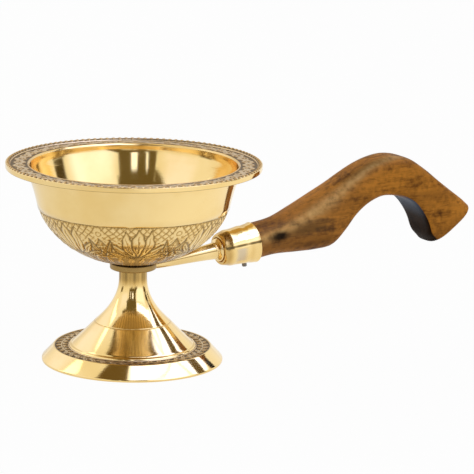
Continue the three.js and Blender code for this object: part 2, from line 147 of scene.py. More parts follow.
# Radius and distance of the points that the rod's side is drawn towards
ROD_POINTS = ((1.2, 0), (2.3, 4), (2.45, 12), (2.75, 20), (3.2, 27), (3.75, ARM_LENGTH - 1.1))
BEAD_RADIUS = 5.2
BEAD_NECK_RADIUS = 3.9
BEAD_LENGTH = 3.0
BEAD_GROOVE = ((BEAD_NECK_RADIUS, ARM_LENGTH - 0.8), (3.55, ARM_LENGTH - 0.35), (3.6, ARM_LENGTH - 0.1))
TANG_RADIUS = 2.4
TANG_END = 74.9
FERRULE_START = 35.3
FERRULE_END = 52.5
CUP_FLOOR = 37.2
CUP_BACK = CUP_FLOOR + 0.9
CUP_RADIUS = 5.5
FERRULE_WALL = 0.9
FERRULE_MOUTH_RADIUS = 9.0
FERRULE_SHOULDER_RADIUS = 8.2
FERRULE_NOSE = 5.0
FERRULE_DENT = 0.22
PIN_RADIUS = 1.05
PIN_AXIS = 47.8
PIN_END = -10.15
PIN_DEPTH = 15.0

# Grip: back and belly ahead of and above the ferrule's mouth, as shares of reach and
# rise, then the width's share and how square the section is, where 2 is round
GRIP_REACH = 111.75
GRIP_RISE = 34.0
GRIP_WIDTH = 19.5
GRIP_GAP = 0.3
GRIP_NECK_RADIUS = 8.0
GRIP_NECK_LIFT = 0.5
GRIP_END_ROUND = 3.4
GRIP_FRONT = 38.4
GRIP_FRONT_RADII = (5.1, 7.0, 7.8)
GRIP_STATION_SHARES = np.array([
    [0.09, 0.306, 0.09, -0.182, 0.87, 2.0],
    [0.18, 0.426, 0.184, -0.179, 0.95, 2.2],
    [0.269, 0.562, 0.273, -0.174, 1.0, 2.4],
    [0.354, 0.694, 0.345, -0.138, 1.0, 2.6],
    [0.425, 0.812, 0.391, 0.009, 1.0, 2.8],
    [0.492, 0.909, 0.433, 0.197, 1.0, 3.0],
    [0.559, 0.974, 0.489, 0.356, 1.0, 3.2],
    [0.626, 0.994, 0.564, 0.462, 1.0, 3.6],
    [0.698, 0.944, 0.642, 0.456, 1.0, 4.0],
    [0.769, 0.797, 0.707, 0.362, 1.02, 4.2],
    [0.836, 0.626, 0.753, 0.197, 1.02, 4.4],
    [0.899, 0.471, 0.78, 0.038, 1.02, 4.5],
    [0.96, 0.332, 0.795, -0.126, 1.02, 3.8],
    [0.999, 0.232, 0.812, -0.221, 1.0, 3.2],
])

# Columns round each piece
BOWL_COLUMNS = 600
FOOT_COLUMNS = 600
STEM_COLUMNS = 240
FERRULE_COLUMNS = 240
GRIP_COLUMNS = 240
BOLT_COLUMNS = 192
EYE_COLUMNS = 180
WASHER_COLUMNS = 120
ROD_COLUMNS = 96
PIN_COLUMNS = 48

# Engraving, with places in millimetres down the belly or across a ring. Every pattern gives how
# deep the cut is, from 0 on the polished face to 1
VIEWER_TURN = math.radians(-118.0)
LOTUS_TURN = VIEWER_TURN + math.radians(3.4)
ENGRAVING_DEPTH = 0.36
MOTIFS = 7
LATTICE_PITCH = 3.2
LATTICE_END = (5.5, 8.5)
DIAMOND_PLACE = 12.0
DIAMOND_SIZE = (2.8, 5.5)
LOTUS_FOOT = 20.3
# Lean, length, half width and bend of a lotus's petals, from the outer to the inner ones
LOTUS_PETALS = ((1.42, 14.0, 1.3, 0.22), (1.02, 15.4, 1.6, 0.2), (0.6, 18.6, 2.5, 0.32))
# Leaves that curl round a diamond: lean, length, foot and bend
CURLED_LEAVES = ((-1.15, 9.0, 19.5, -0.2), (-0.62, 13.0, 19.2, -0.25))
# Rings of leaves near the boss: count, top, length and half width
LEAF_RINGS = ((35, 20.6, 9.0, 1.7), (35, 28.4, 7.5, 1.15))
PLAIN_RING = 36.5
VINE_WAVES = 22
FOOT_LEAVES = 44
LAUREL_LEAVES = ((-0.4, 1.02, 4.9, 0.92), (0.7, 0.55, 3.0, 0.6))

# Marks say how dark a place is, from 0 to 1: old polish in engraved recesses and at seams, painted shade in
# gaps, under edges and about the hook, and painted dark reflections in lines; and how much wear or satin
# finish it has, which on the grip's ridge and on a facet of the ferrule is a painted highlight. They stop
# at 1, so a greater number here only reaches it sooner
DARK, WEAR_AND_SHEEN = 0, 1
# painted shade on the boss, in the gap between the bowl and the eye
BOSS_SHADE = 0.9
BELLY_DIRT = 0.8
# painted shade on the belly near the boss, under the bowl
BELLY_FOOT_SHADE = 0.4
BELLY_WEAR = 0.1
BELLY_FOOT_WEAR = 0.6
# painted shade in the gaps between the teeth
TOOTH_GAP_SHADE = 1.6
TOOTH_WEAR = 0.5
VINE_FACE_DIRT = 0.08
VINE_DIRT = 1.05
VINE_WEAR = 0.75
# the inside is darker and more golden towards the lip
THROAT_TINT = 0.26
SEAM_DIRT = 0.3
LAUREL_DIRT = 1.2
LAUREL_WEAR = 0.65
# the eye is darker all over
EYE_DARKENING = 0.68
# where a painted dark reflection runs in a line along the ferrule and the rod
FERRULE_LINE_TURN = -1.82
# painted sheen of a flat facet on the ferrule's side
FERRULE_FACET_SHEEN = 0.72


# Curves and profiles

def bezier(count, *controls):
    """Bezier curve: every control point weighted by its Bernstein polynomial."""
    t = np.linspace(0, 1, count)[:, None]
    degree = len(controls) - 1
    total = np.zeros((count, len(controls[0])))
    for i, control in enumerate(controls):
        weight = math.comb(degree, i) * (1 - t) ** (degree - i) * t ** i
        total += weight * np.array(control, float)
    return total


def arc_length(points):
    """The way along a line to each of its points."""
    return np.concatenate([[0], np.cumsum(np.linalg.norm(np.diff(points, axis=0), axis=1))])


def even(points, count):
    """The same line with count points at equal steps of arc length."""
    arc = arc_length(points)
    wanted = np.linspace(0, arc[-1], count)
    return np.stack([np.interp(wanted, arc, points[:, i]) for i in range(points.shape[1])], -1)


def softened(*corners, steps=4):
    """A line of corners (radius, height, softness), where each corner becomes a short curve that
    reaches softness along both of its sides."""
    points = [np.array([corners[0][:2]], float)]
    for before, corner, after in zip(corners, corners[1:], corners[2:]):
        here = np.array(corner[:2], float)
        back = np.array(before[:2]) - here
        on = np.array(after[:2]) - here
        reach = corner[2]
        start = here + back / np.linalg.norm(back) * min(reach, np.linalg.norm(back) * 0.49)
        end = here + on / np.linalg.norm(on) * min(reach, np.linalg.norm(on) * 0.49)
        points.append(bezier(steps, start, here, end))
    points.append(np.array([corners[-1][:2]], float))
    return np.concatenate(points)


def centripetal(points, steps):
    """Smooth curve through the points: cubic pieces whose end slopes come from neighbours at
    distances raised to a half, with steps points in each piece and the last point added."""
    chain = np.concatenate([[2 * points[0] - points[1]], points, [2 * points[-1] - points[-2]]])
    gap = np.sqrt(np.linalg.norm(np.diff(chain, axis=0), axis=1))[:, None]
    gap_before, gap_here, gap_after = gap[:-2], gap[1:-1], gap[2:]
    before, start, end, after = chain[:-3], chain[1:-2], chain[2:-1], chain[3:]
    slope_in = gap_here * (
        (start - before) / gap_before - (end - before) / (gap_before + gap_here) + (end - start) / gap_here)
    slope_out = gap_here * (
        (end - start) / gap_here - (after - start) / (gap_here + gap_after) + (after - end) / gap_after)
    t = (np.arange(steps) / steps)[None, :, None]
    start, end, slope_in, slope_out = start[:, None], end[:, None], slope_in[:, None], slope_out[:, None]
    square = 3 * (end - start) - 2 * slope_in - slope_out
    cube = 2 * (start - end) + slope_in + slope_out
    curve = start + slope_in * t + square * t ** 2 + cube * t ** 3
    return np.concatenate([curve.reshape(-1, points.shape[1]), points[-1:]])


def ease(value, low, high):
    """0 below low and 1 above high, with a soft S between them."""
    share = np.clip((value - low) / (high - low), 0, 1)
    return share * share * (3 - 2 * share)


def stroke(distance, half_width):
    """1 on a line and 0 beside it, by the distance from the line's middle."""
    return 1 - ease(np.abs(distance), half_width * 0.35, half_width * 1.25)


def spot(*offsets):
    """1 where all offsets are 0, falling off as a bell curve: e to minus the sum of their
    squares."""
    return np.exp(-sum(offset ** 2 for offset in offsets))


def ripple(*values):
    """Slow handmade unevenness from -1 to 1: a sum of sines of unlike pitch."""
    total = 0
    for i, value in enumerate(values):
        total = total + np.sin(value * (1.0 + 0.37 * i) + 1.7 * i) + 0.6 * np.sin(value * 2.3 + 4.1 * i)
    return total / (1.6 * len(values))


# Placing corners in the row's frame

def on_stem(points):
    """Millimetres about the stem's axis, as metres in the row's frame."""
    return points * MM + np.array([STEM_X, 0, 0])


def ahead_of_eye(along, above):
    """Place of points by their way along the arm's axis, which starts at the eye and climbs by
    its slope, and their height above it."""
    sine, cosine = math.sin(ARM_SLOPE), math.cos(ARM_SLOPE)
    x = ARM_ROOT[0] + along * cosine - above * sine
    z = ARM_ROOT[1] + along * sine + above * cosine
    return np.array([x, z])


def on_arm(points):
    """Points about the arm's own axis. The first number goes down, the second across and the
    third along the arm."""
    x, z = ahead_of_eye(points[..., 2], -points[..., 0])
    return on_stem(np.stack([x, points[..., 1], z], -1))


def on_pin(points):
    """Points about the cross pin's axis, which stands square to the arm's axis."""
    return on_arm(np.stack([-points[..., 2], points[..., 1], points[..., 0] + PIN_AXIS], -1))


def full_turn(columns):
    """The angle of each column."""
    return np.arange(columns) / columns * 2 * math.pi


def turned_grid(profile, columns, relief=0.0):
    """A profile of radius and height carried round its axis: the radius times the cosine and the
    sine of the turn, at the same height. Rows are the profile's points and columns go round. Each
    corner is moved out along the profile's own normal by the relief."""
    after = np.roll(profile, -1, 0)
    slope = after - np.roll(profile, 1, 0)
    area = np.sum(profile[:, 0] * after[:, 1] - after[:, 0] * profile[:, 1])
    normal = np.stack([slope[:, 1], -slope[:, 0]], -1) * np.sign(area)
    normal /= np.linalg.norm(normal, axis=1, keepdims=True) + 1e-9
    turn = full_turn(columns)
    radius = profile[:, :1] + normal[:, :1] * relief
    height = profile[:, 1:] + normal[:, 1:] * relief + 0 * turn
    return np.stack([radius * np.cos(turn), radius * np.sin(turn), height], -1)


# Meshes

def no_marks(grid):
    """Two marks for each corner of a grid, all 0."""
    return np.zeros((*grid.shape[:2], 2))


def shell(grid, closed_rows=True, marks=None):
    """Corners, faces and marks of one closed skin. Columns of the grid go round and meet again;
    rows meet again too, or one middle point closes each end with a fan."""
    rows, columns = grid.shape[:2]
    points = grid.reshape(-1, 3)
    marks = (no_marks(grid) if marks is None else np.clip(marks, 0, 1)).reshape(-1, 2)
    index = np.arange(rows * columns).reshape(rows, columns)
    low = index if closed_rows else index[:-1]
    high = np.roll(index, -1, 0) if closed_rows else index[1:]
    faces = np.stack([low, np.roll(low, -1, 1), np.roll(high, -1, 1), high], -1).reshape(-1, 4)
    corners = points[faces]
    middle = points.mean(0)
    spread = np.cross(corners[:, 2] - corners[:, 0], corners[:, 3] - corners[:, 1])
    volume = np.sum((corners.mean(1) - middle) * spread)
    faces = faces.tolist()
    if not closed_rows:
        first, last = len(points), len(points) + 1
        points = np.concatenate([points, [grid[0].mean(0), grid[-1].mean(0)]])
        marks = np.concatenate([marks, marks[:1], marks[-1:]])
        around = np.roll(index, -1, 1)
        start = np.stack([np.full(columns, first), around[0], index[0]], -1)
        end = np.stack([np.full(columns, last), index[-1], around[-1]], -1)
        faces += start.tolist() + end.tolist()
    if volume < 0:
        faces = [face[::-1] for face in faces]
    return points, faces, marks


def add_object(name, data):
    """A new object in the scene, which holds this mesh, lamp or camera."""
    made = bpy.data.objects.new(name, data)
    bpy.context.scene.collection.objects.link(made)
    return made


def write_mark(mesh, name, values):
    """Gives every corner of a mesh its own value under this name."""
    mesh.attributes.new(name, "FLOAT", "POINT").data.foreach_set("value", values)


def piece(name, shells, body, node, material):
    """One visible piece made of closed skins. It rides on its body and stands for its node."""
    points, faces, marks = [], [], []
    start = 0
    for corners, skin, mark in shells:
        points.append(corners)
        marks.append(mark)
        faces += [[i + start for i in face] for face in skin]
        start += len(corners)
    marks = np.concatenate(marks)
    mesh = bpy.data.meshes.new(name)
    mesh.from_pydata(np.concatenate(points).tolist(), [], faces)
    write_mark(mesh, "dark", marks[:, DARK].copy())
    write_mark(mesh, "wear_and_sheen", marks[:, WEAR_AND_SHEEN].copy())
    mesh.polygons.foreach_set("use_smooth", np.ones(len(faces), bool))
    mesh.materials.append(material)
    mesh.update()
    made = add_object(name, mesh)
    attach(made, body)
    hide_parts(node)


# Engraving

def leaf(across, along, lean, length, width, bend, fullness=0.8):
    """A pointed leaf that starts at the origin and leans to one side. Gives the distance inside
    its edge, the distance from its vein and the share of its length. The greater its fullness,
    the nearer to its tip it is widest."""
    share = (along * math.cos(lean) + across * math.sin(lean)) / length
    side = across * math.cos(lean) - along * math.sin(lean)
    inside = np.clip(share, 0, 1)
    side = side + bend * length * inside ** 2
    half = width * np.sin(math.pi * inside ** fullness)
    beyond = np.abs(share - 0.5) * 2 > 1
    edge = np.where(beyond, -1.0, half - np.abs(side))
    return edge, side, share


def lay_leaf(cut, across, along, lean, length, width, bend, vein=0.8, fullness=0.8):
    """Lays one raised leaf over a pattern: its face is slightly domed, with a groove along its
    outline and a vein along its middle."""
    edge, side, share = leaf(across, along, lean, length, width, bend, fullness)
    face = 0.28 * (1 - ease(edge, 0.0, width * 0.8))
    middle = vein * stroke(side, 0.36) * ease(share, 0.2, 0.4) * (1 - ease(share, 0.75, 0.9))
    cover = ease(edge, -0.12, 0.12)
    cut = cut * (1 - cover) + np.maximum(face, middle) * cover
    return np.maximum(cut, stroke(edge, 0.52) * (edge > -0.9))


def belly_ground(across, depth):
    """Lattice below the band, and herringbone lower down."""
    middle = LATTICE_PITCH / 2
    lattice = np.maximum(
        stroke((across + depth) % LATTICE_PITCH - middle, 0.5),
        stroke((across - depth) % LATTICE_PITCH - middle, 0.5),
    )
    hatch = stroke((across * 0.75 + depth * 0.9) % 1.9 - 0.95, 0.46)
    hatch = hatch * (0.6 + 0.4 * np.sin(across * 1.9 - depth * 1.6))
    lower = ease(depth, *LATTICE_END)
    return 0.08 + 0.8 * (lattice * (1 - lower) + hatch * lower)


def lay_diamond(cut, aside, depth):
    """Lays a small ring over a pattern, and below it a diamond with a smaller one inside it."""
    ring = np.abs(np.hypot(aside, depth - 3.9) - 1.25)
    cut = np.where(ring < 1.25, 0.1, cut)
    cut = np.maximum(cut, 0.85 * stroke(ring, 0.34))
    half_width, half_height = DIAMOND_SIZE
    diamond = aside / half_width + np.abs(depth - DIAMOND_PLACE) / half_height
    inner = np.maximum(stroke(aside % 1.3 - 0.65, 0.26), stroke(depth % 1.3 - 0.65, 0.26))
    cover = 1 - ease(diamond, 0.97, 1.03)
    cut = cut * (1 - cover) + cover * (0.1 + 0.75 * inner * (diamond < 0.72))
    outline = stroke((diamond - 1) * 2.4, 0.42)
    inner_outline = 0.8 * stroke((diamond - 0.72) * 2.4, 0.3)
    return np.maximum(cut, np.maximum(outline, inner_outline))


def belly_cut(turn, depth):
    """Seven lotus flowers with diamonds between them, on a hatched ground, over two rings of
    small leaves. turn is the angle and depth the way down the belly from the plain band."""
    period = 2 * math.pi / MOTIFS
    turn = turn + 0.012 * ripple(turn * 23, depth * 0.7)
    depth = depth + 0.3 * ripple(turn * 17 + 2, depth * 0.9)
    local = (turn - LOTUS_TURN + period / 2) % period - period / 2
    radius = np.interp(depth, [0, 10, 20, 30, 42], [41, 36, 28.8, 20, 8.4])
    across = np.abs(local) * radius
    aside = (period / 2 - np.abs(local)) * radius
    beads = 0.7 * stroke((turn * 41 * 4 / math.pi) % 1 - 0.5, 0.3) * stroke(depth - 0.5, 0.5)
    cut = belly_ground(across, depth)
    for lean, length, foot, bend in CURLED_LEAVES:
        cut = lay_leaf(cut, -aside, foot - depth, lean, length, 1.1, bend)
    cut = lay_diamond(cut, aside, depth)
    rise = LOTUS_FOOT - depth
    for lean, length, width, bend in LOTUS_PETALS:
        cut = lay_leaf(cut, across, rise, lean, length, width, bend, fullness=1.3)
    cut = lay_leaf(cut, local * radius, rise, 0.0, 19.3, 2.8, 0.0, vein=0.95, fullness=1.36)
    for count, top, length, width in LEAF_RINGS:
        step = 2 * math.pi / count
        offset = ((turn - LOTUS_TURN) % step - step / 2) * radius
        leaves = lay_leaf(np.full_like(cut, 0.85), offset, depth - top, 0.0, length, width, 0.0)
        below = ease(depth, top, top + 0.6)
        cut = cut * (1 - below) + (0.5 + 0.42 * leaves) * below
    plain = ease(depth, PLAIN_RING, PLAIN_RING + 0.5)
    cut = cut * (1 - plain) + 0.1 * plain
    border = np.maximum(stroke(depth - 0.15, 0.34), stroke(depth - (PLAIN_RING + 0.1), 0.4))
    return np.clip(np.maximum(np.maximum(cut, beads), border), 0, 1)


def bordered(cut, radius, inner, outer, softness, widths):
    """Gives a ring's pattern a plain border along both of its edges, each with a line beside it."""
    border = np.maximum(
        ease(inner + 0.35 - radius, -0.1, softness), ease(radius - outer + 0.3, -0.1, softness))
    lines = np.maximum(stroke(radius - inner - 0.5, widths[0]), stroke(radius - outer + 0.4, widths[1]))
    return np.clip(np.maximum(cut * (1 - border), lines), 0, 1)


def vine_cut(turn, radius, inner, outer):
    """A waving vine with a curled leaf in each bend, raised from a dark stippled ground between
    two plain borders."""
    middle = (inner + outer) / 2
    wave = 2 * math.pi * middle / VINE_WAVES
    way = turn * middle
    half = (way // (wave / 2)) % 2 * 2 - 1
    ahead = way % (wave / 2) - wave / 4
    out = (radius - middle) * half
    swing = (outer - inner) * 0.3
    stem = np.abs(out - swing * np.cos(2 * math.pi * ahead / wave))
    raised = 1 - ease(stem, 0.25, 0.75)
    up = out + 0.7
    distance = np.hypot(ahead, up)
    curl = 0.5 + 0.5 * np.cos(2 * math.pi * distance / 1.75 - np.arctan2(up, ahead))
    raised = np.maximum(raised, ease(curl, 0.35, 0.75) * (1 - ease(distance, 2.3, 2.9)))
    for lean, length in ((0.5, 3.4), (-0.6, 3.2), (1.25, 3.6), (-1.3, 3.3)):
        shift = np.abs(ahead) - wave / 4
        edge, side, share = leaf(shift, -np.abs(out) + 1.2, lean, length, 0.75, 0.1)
        vein = stroke(side, 0.16) * (share > 0.2)
        raised = np.maximum(raised, ease(edge, -0.1, 0.2) * (1 - 0.6 * vein))
    stipple = 0.1 * np.sin(way * 5.1) * np.sin(radius * 5.7)
    return bordered((0.9 + stipple) * (1 - raised), radius, inner, outer, 0.15, (0.3, 0.28))


def laurel_cut(turn, radius, inner, outer):
    """Slanting leaves on both sides of a stalk that runs round the middle of the ring, each with
    a vein, raised from a dark ground."""
    middle = (inner + outer) / 2
    step = 2 * math.pi * middle / FOOT_LEAVES
    way = turn * middle + 0.25 * ripple(turn * 19, radius * 1.3)
    out = radius - middle
    cut = np.full_like(way + out, 1.0)
    for half, shift in ((1, 0.0), (-1, 0.5)):
        for lap in (-1, 0, 1):
            across = (way + shift * step) % step - step / 2 - lap * step
            for start, lean, length, width in LAUREL_LEAVES:
                edge, side, share = leaf(across - start, out * half + 0.1, lean, length, width, 0.1)
                vein = 0.85 * stroke(side, 0.17) * ease(share, 0.1, 0.25)
                cover = ease(edge, -0.08, 0.14)
                cut = cut * (1 - cover) + vein * cover
    cut = cut * ease(np.abs(out + 0.15 * np.sin(way * 1.9)), 0.1, 0.32)
    return bordered(cut, radius, inner, outer, 0.12, (0.26, 0.24))


# Turned pieces

def belly_curve(count, floor, radius, side_shares):
    """Bezier curve from the boss out and up to the band: flat at the boss, steep at the band."""
    width = radius - BOSS_RADIUS
    depth = BELLY_TOP - floor
    return bezier(
        count, (BOSS_RADIUS, floor), (BOSS_RADIUS + width * BELLY_FLOOR_SHARE, floor),
        (radius - width * side_shares[0], BELLY_TOP - depth * side_shares[1]), (radius, BELLY_TOP))


def inner_band_curve():
    """Bezier curve from the belly's inside up to the throat, drawn over by a soft S to a line
    that stands nearly upright in the last few millimetres."""
    bend = BAND_FOOT[0] + (BAND_TOP_RADIUS - BAND_FOOT[0]) * BAND_LEAN_SHARES[0] + THROAT_FULLNESS
    curve = bezier(
        200, (BELLY_RADIUS - BOWL_WALL, BELLY_TOP),
        (bend, BELLY_TOP + (THROAT - BELLY_TOP) * THROAT_RISE_SHARE), (MOUTH_RADIUS, THROAT))
    upright = MOUTH_RADIUS - THROAT_LEAN * (THROAT - curve[:, 1])
    curve[:, 0] += ease(curve[:, 1], THROAT - THROAT_UPRIGHT, THROAT - 1.0) * (upright - curve[:, 0])
    return curve


def joined(zones):
    """The zones' points one after another, and the rows that each zone has among them."""
    rows = {}
    start = 0
    for name, points in zones.items():
        rows[name] = slice(start, start + len(points))
        start += len(points)
    return np.concatenate(list(zones.values())), rows


def bowl_zones():
    """The bowl's section from the bolt hole out along the belly, over the rim and back inside.
    Belly and plain band are Bezier curves and the rest is straight runs with softened corners.
    The band leans out slowly, then turns out into the flange."""
    belly = even(belly_curve(300, BOWL_BOTTOM, BELLY_RADIUS, BELLY_SIDE_SHARES), BELLY_ROWS)
    radius, height = BAND_FOOT
    lean, rise = BAND_LEAN_SHARES
    bend = (radius + (BAND_TOP_RADIUS - radius) * lean, height + (BAND_TOP - height) * rise)
    crest = PLATE_TOP + RIM_CREST
    inner_belly = belly_curve(200, BOWL_FLOOR, BELLY_RADIUS - BOWL_WALL, INNER_SIDE_SHARES)
    lip = softened(
        (MOUTH_EDGE + 0.1, PLATE_TOP, 0), (MOUTH_EDGE, PLATE_TOP, LIP_ROUND),
        (MOUTH_RADIUS, THROAT, LIP_ROUND), (MOUTH_RADIUS - 0.02, THROAT - 0.1, 0), steps=3)
    return {
        "base": softened(
            (BOLT_HOLE, BOSS_BOTTOM + 1.0, 0), (BOLT_HOLE, BOSS_BOTTOM, BOSS_ROUND),
            (BOSS_RADIUS, BOSS_BOTTOM, BOSS_ROUND), (BOSS_RADIUS, BOWL_BOTTOM, 0.3),
            (BOSS_RADIUS + 0.5, BOWL_BOTTOM, 0), steps=3),
        "belly": np.concatenate([belly[1:BELLY_COARSE_ROWS:2], belly[BELLY_COARSE_ROWS:]]),
        "band": even(bezier(200, BAND_FOOT, bend, (BAND_TOP_RADIUS, BAND_TOP)), 8),
        "edge": softened(
            (BAND_TOP_RADIUS + 0.4, BAND_TOP, 0), (RIM_RADIUS, BAND_TOP, RIM_ROUND),
            (RIM_RADIUS, crest, 0.2), (RIM_RADIUS - RIM_ROUND, crest, 0)),
        "teeth": TOOTH_ROWS[:, :1] * [1, 0] + [0, PLATE_TOP + TOOTH_ROOT],
        "top": even(np.array([(VINE_OUTER, PLATE_TOP), (MOUTH_EDGE + 0.2, PLATE_TOP)]), 22),
        "inside": np.concatenate([
            lip, even(inner_band_curve(), 17)[::-1][1:], even(inner_belly, 13)[::-1][1:]]),
        "hole": np.array([(BOLT_HOLE + 0.3, BOWL_FLOOR), (BOLT_HOLE, BOWL_FLOOR - 0.3)]),
    }


def make_bowl(material):
    """The section turned round the stem, less the depth of the engraving along its normal. The
    teeth rise by the cosine of the turn times half their count, flattened by a soft S."""
    profile, rows = joined(bowl_zones())
    edge, teeth, top, inside = rows["edge"], rows["teeth"], rows["top"], rows["inside"]
    belly = rows["belly"]
    turn = full_turn(BOWL_COLUMNS)
    way = arc_length(profile[belly])[:, None]
    cut = np.zeros((len(profile), BOWL_COLUMNS))
    cut[belly] = belly_cut(turn[None, :], way[-1] - way)
    cut[top] = vine_cut(turn[None, :], profile[top, :1], MOUTH_EDGE, VINE_OUTER)
    grid = turned_grid(profile, BOWL_COLUMNS, -ENGRAVING_DEPTH * cut)
    bars = ease(np.abs(np.cos(turn * TOOTH_COUNT / 2)), 0.42, 0.92)[None, :]
    grid[teeth, :, 2] += bars * TOOTH_ROWS[:, 1:2] * (TOOTH_TOP - PLATE_TOP - TOOTH_ROOT)
    marks = no_marks(grid)
    # painted shade on the boss, in the gap above the eye
    marks[rows["base"], :, DARK] = BOSS_SHADE
    # old polish in the engraving's recesses, and painted shade near the boss under the bowl
    marks[belly, :, DARK] = cut[belly] * BELLY_DIRT + BELLY_FOOT_SHADE * ease(way, way[-1] * 0.2, 0.0)
    marks[belly, :, WEAR_AND_SHEEN] = BELLY_WEAR + BELLY_FOOT_WEAR * ease(way, way[-1] * 0.42, way[-1] * 0.2)
    # painted shade along the flange's lower corner, where it overhangs the band
    marks[edge, :, DARK] = ease(profile[edge, 1:], BAND_TOP + RIM_ROUND, BAND_TOP)
    # painted shade in the gaps between the teeth and towards their root
    marks[teeth, :, DARK] = (1 - bars) * TOOTH_GAP_SHADE + TOOTH_ROWS[:, 2:]
    marks[teeth, :, WEAR_AND_SHEEN] = TOOTH_WEAR
    marks[top, :, DARK] = VINE_FACE_DIRT + cut[top] * VINE_DIRT
    marks[top, :, WEAR_AND_SHEEN] = VINE_WEAR
    # darker and more golden towards the lip
    marks[inside, :, DARK] = THROAT_TINT * ease(profile[inside, 1:], THROAT - 4.0, THROAT - 1.0)
    skin = shell(on_stem(grid), marks=marks)
    piece("bowl_engraved", [skin], "stand", "bowl", material)


def make_stem(material):
    """A trumpet: a Bezier curve from the seam up to the neck, where it stands upright, turned
    round the stem and moved out by slow ripples. The spigot below it fits the foot's hole."""
    height = STEM_TOP - NECK_LENGTH - SEAM_HEIGHT
    neck = SEAM_HEIGHT + height
    spread = SEAM_RADIUS - NECK_RADIUS
    flare_in, flare_up = TRUMPET_FLARE_SHARES
    trumpet = bezier(
        200, (SEAM_RADIUS - 0.03, SEAM_HEIGHT + 0.06),
        (SEAM_RADIUS - spread * flare_in, SEAM_HEIGHT + height * flare_up),
        (NECK_RADIUS, SEAM_HEIGHT + height * (1 - TRUMPET_NECK_SHARE)), (NECK_RADIUS, neck))
    profile = np.concatenate([
        softened((BOLT_HOLE, SPIGOT_BOTTOM, 0), (SPIGOT_RADIUS, SPIGOT_BOTTOM, 0.2),
                 (SPIGOT_RADIUS, SEAM_HEIGHT, 0.1), (SEAM_RADIUS - 0.12, SEAM_HEIGHT, 0), steps=3),
        even(trumpet, 64),
        softened((NECK_RADIUS, neck + 1, 0), (NECK_RADIUS, STEM_TOP, 0.3),
                 (BOLT_HOLE, STEM_TOP, 0.2), (BOLT_HOLE, SPIGOT_BOTTOM + 2, 0))])
    turn = full_turn(STEM_COLUMNS)
    up = profile[:, 1:]
    grid = turned_grid(profile, STEM_COLUMNS, STEM_DENT * ripple(turn * 3, up * 0.5))
    streaks = 0.5 + 0.5 * ripple(turn * 9, up * 0.2)
    marks = no_marks(grid)
    marks[..., DARK] = SEAM_DIRT * ease(up, SEAM_HEIGHT + 0.3, SEAM_HEIGHT)
    # painted shade in streaks at the top of the neck, under the eye
    marks[..., DARK] += (0.35 + 0.6 * streaks) * ease(up, STEM_TOP - 9.0, STEM_TOP - 3.0)
    skin = shell(on_stem(grid), marks=marks)
    piece("stem_trumpet", [skin], "stand", "stem", material)


def foot_zones():
    """The foot's section: skirt, flat ring, fillet and slightly hollow cone, then back down the
    inside, past the web that carries the spigot and the nut. Fillet and cone are Bezier curves
    and the rest is straight runs with softened corners."""
    cone_radius = RING_INNER_RADIUS - FILLET_WIDTH
    cone_bottom = RING_HEIGHT + FILLET_HEIGHT
    slope = (cone_radius - SEAM_RADIUS) / (SEAM_HEIGHT - cone_bottom)
    waist = (cone_radius + (SEAM_RADIUS - cone_radius) * CONE_WAIST_SHARE - CONE_HOLLOW,
             cone_bottom + (SEAM_HEIGHT - cone_bottom) * CONE_WAIST_SHARE - CONE_HOLLOW)
    cone = bezier(60, (cone_radius - 0.2, cone_bottom + 0.2), waist, (SEAM_RADIUS + 0.1, SEAM_HEIGHT - 0.1))
    wall = FOOT_WALL * math.hypot(1, slope)
    ceiling = RING_HEIGHT - FOOT_WALL
    inner_cone = SEAM_RADIUS + (SEAM_HEIGHT - WEB_BOTTOM) * slope - wall
    inner_foot = SEAM_RADIUS + (SEAM_HEIGHT - ceiling) * slope - wall
    seat_radius = SPIGOT_RADIUS + SPIGOT_GAP
    seat = SPIGOT_BOTTOM - SPIGOT_GAP
    return {
        "skirt": softened(
            (FOOT_RADIUS - REST_WIDTH, 0.0, 0), (FOOT_RADIUS, 0.0, 0.25), (FOOT_RADIUS, FOOT_EDGE, 0.25),
            (RING_OUTER_RADIUS, RING_HEIGHT, 0.3), (RING_OUTER_RADIUS - 0.3, RING_HEIGHT, 0)),
        "ring": even(np.array([(LAUREL_OUTER, RING_HEIGHT), (RING_INNER_RADIUS, RING_HEIGHT)]), 24),
        "fillet": bezier(
            6, (RING_INNER_RADIUS, RING_HEIGHT + 0.05), (RING_INNER_RADIUS - 0.1, RING_HEIGHT + 0.8),
            (cone_radius - 0.05, cone_bottom)),
        "cone": even(cone, 18),
        "inside": softened(
            (SEAM_RADIUS, SEAM_HEIGHT, 0), (seat_radius, SEAM_HEIGHT, 0.1), (seat_radius, seat, 0.2),
            (BOLT_HOLE, seat, 0.2), (BOLT_HOLE, WEB_BOTTOM, 0.2), (inner_cone, WEB_BOTTOM, 0.8),
            (inner_foot, ceiling, 0.8), (RING_OUTER_RADIUS - FOOT_WALL, ceiling, 1.0),
            (FOOT_RADIUS - (REST_WIDTH + 0.05), 0.03, 0)),
    }


def make_foot(material):
    """The foot's section turned round the stem, less the depth of the leaves along its normal."""
    profile, rows = joined(foot_zones())
    ring = rows["ring"]
    turn = full_turn(FOOT_COLUMNS)[None, :]
    cut = np.zeros((len(profile), FOOT_COLUMNS))
    cut[ring] = laurel_cut(turn, profile[ring, :1], RING_INNER_RADIUS, LAUREL_OUTER)
    grid = turned_grid(profile, FOOT_COLUMNS, -ENGRAVING_DEPTH * cut)
    marks = no_marks(grid)
    marks[..., DARK] = cut * LAUREL_DIRT
    marks[..., DARK] += SEAM_DIRT * ease(profile[:, 1:], SEAM_HEIGHT - 0.3, SEAM_HEIGHT - 0.1)
    marks[ring, :, WEAR_AND_SHEEN] = LAUREL_WEAR
    skin = shell(on_stem(grid), marks=marks)
    piece("foot_engraved", [skin], "stand", "foot_base", material)


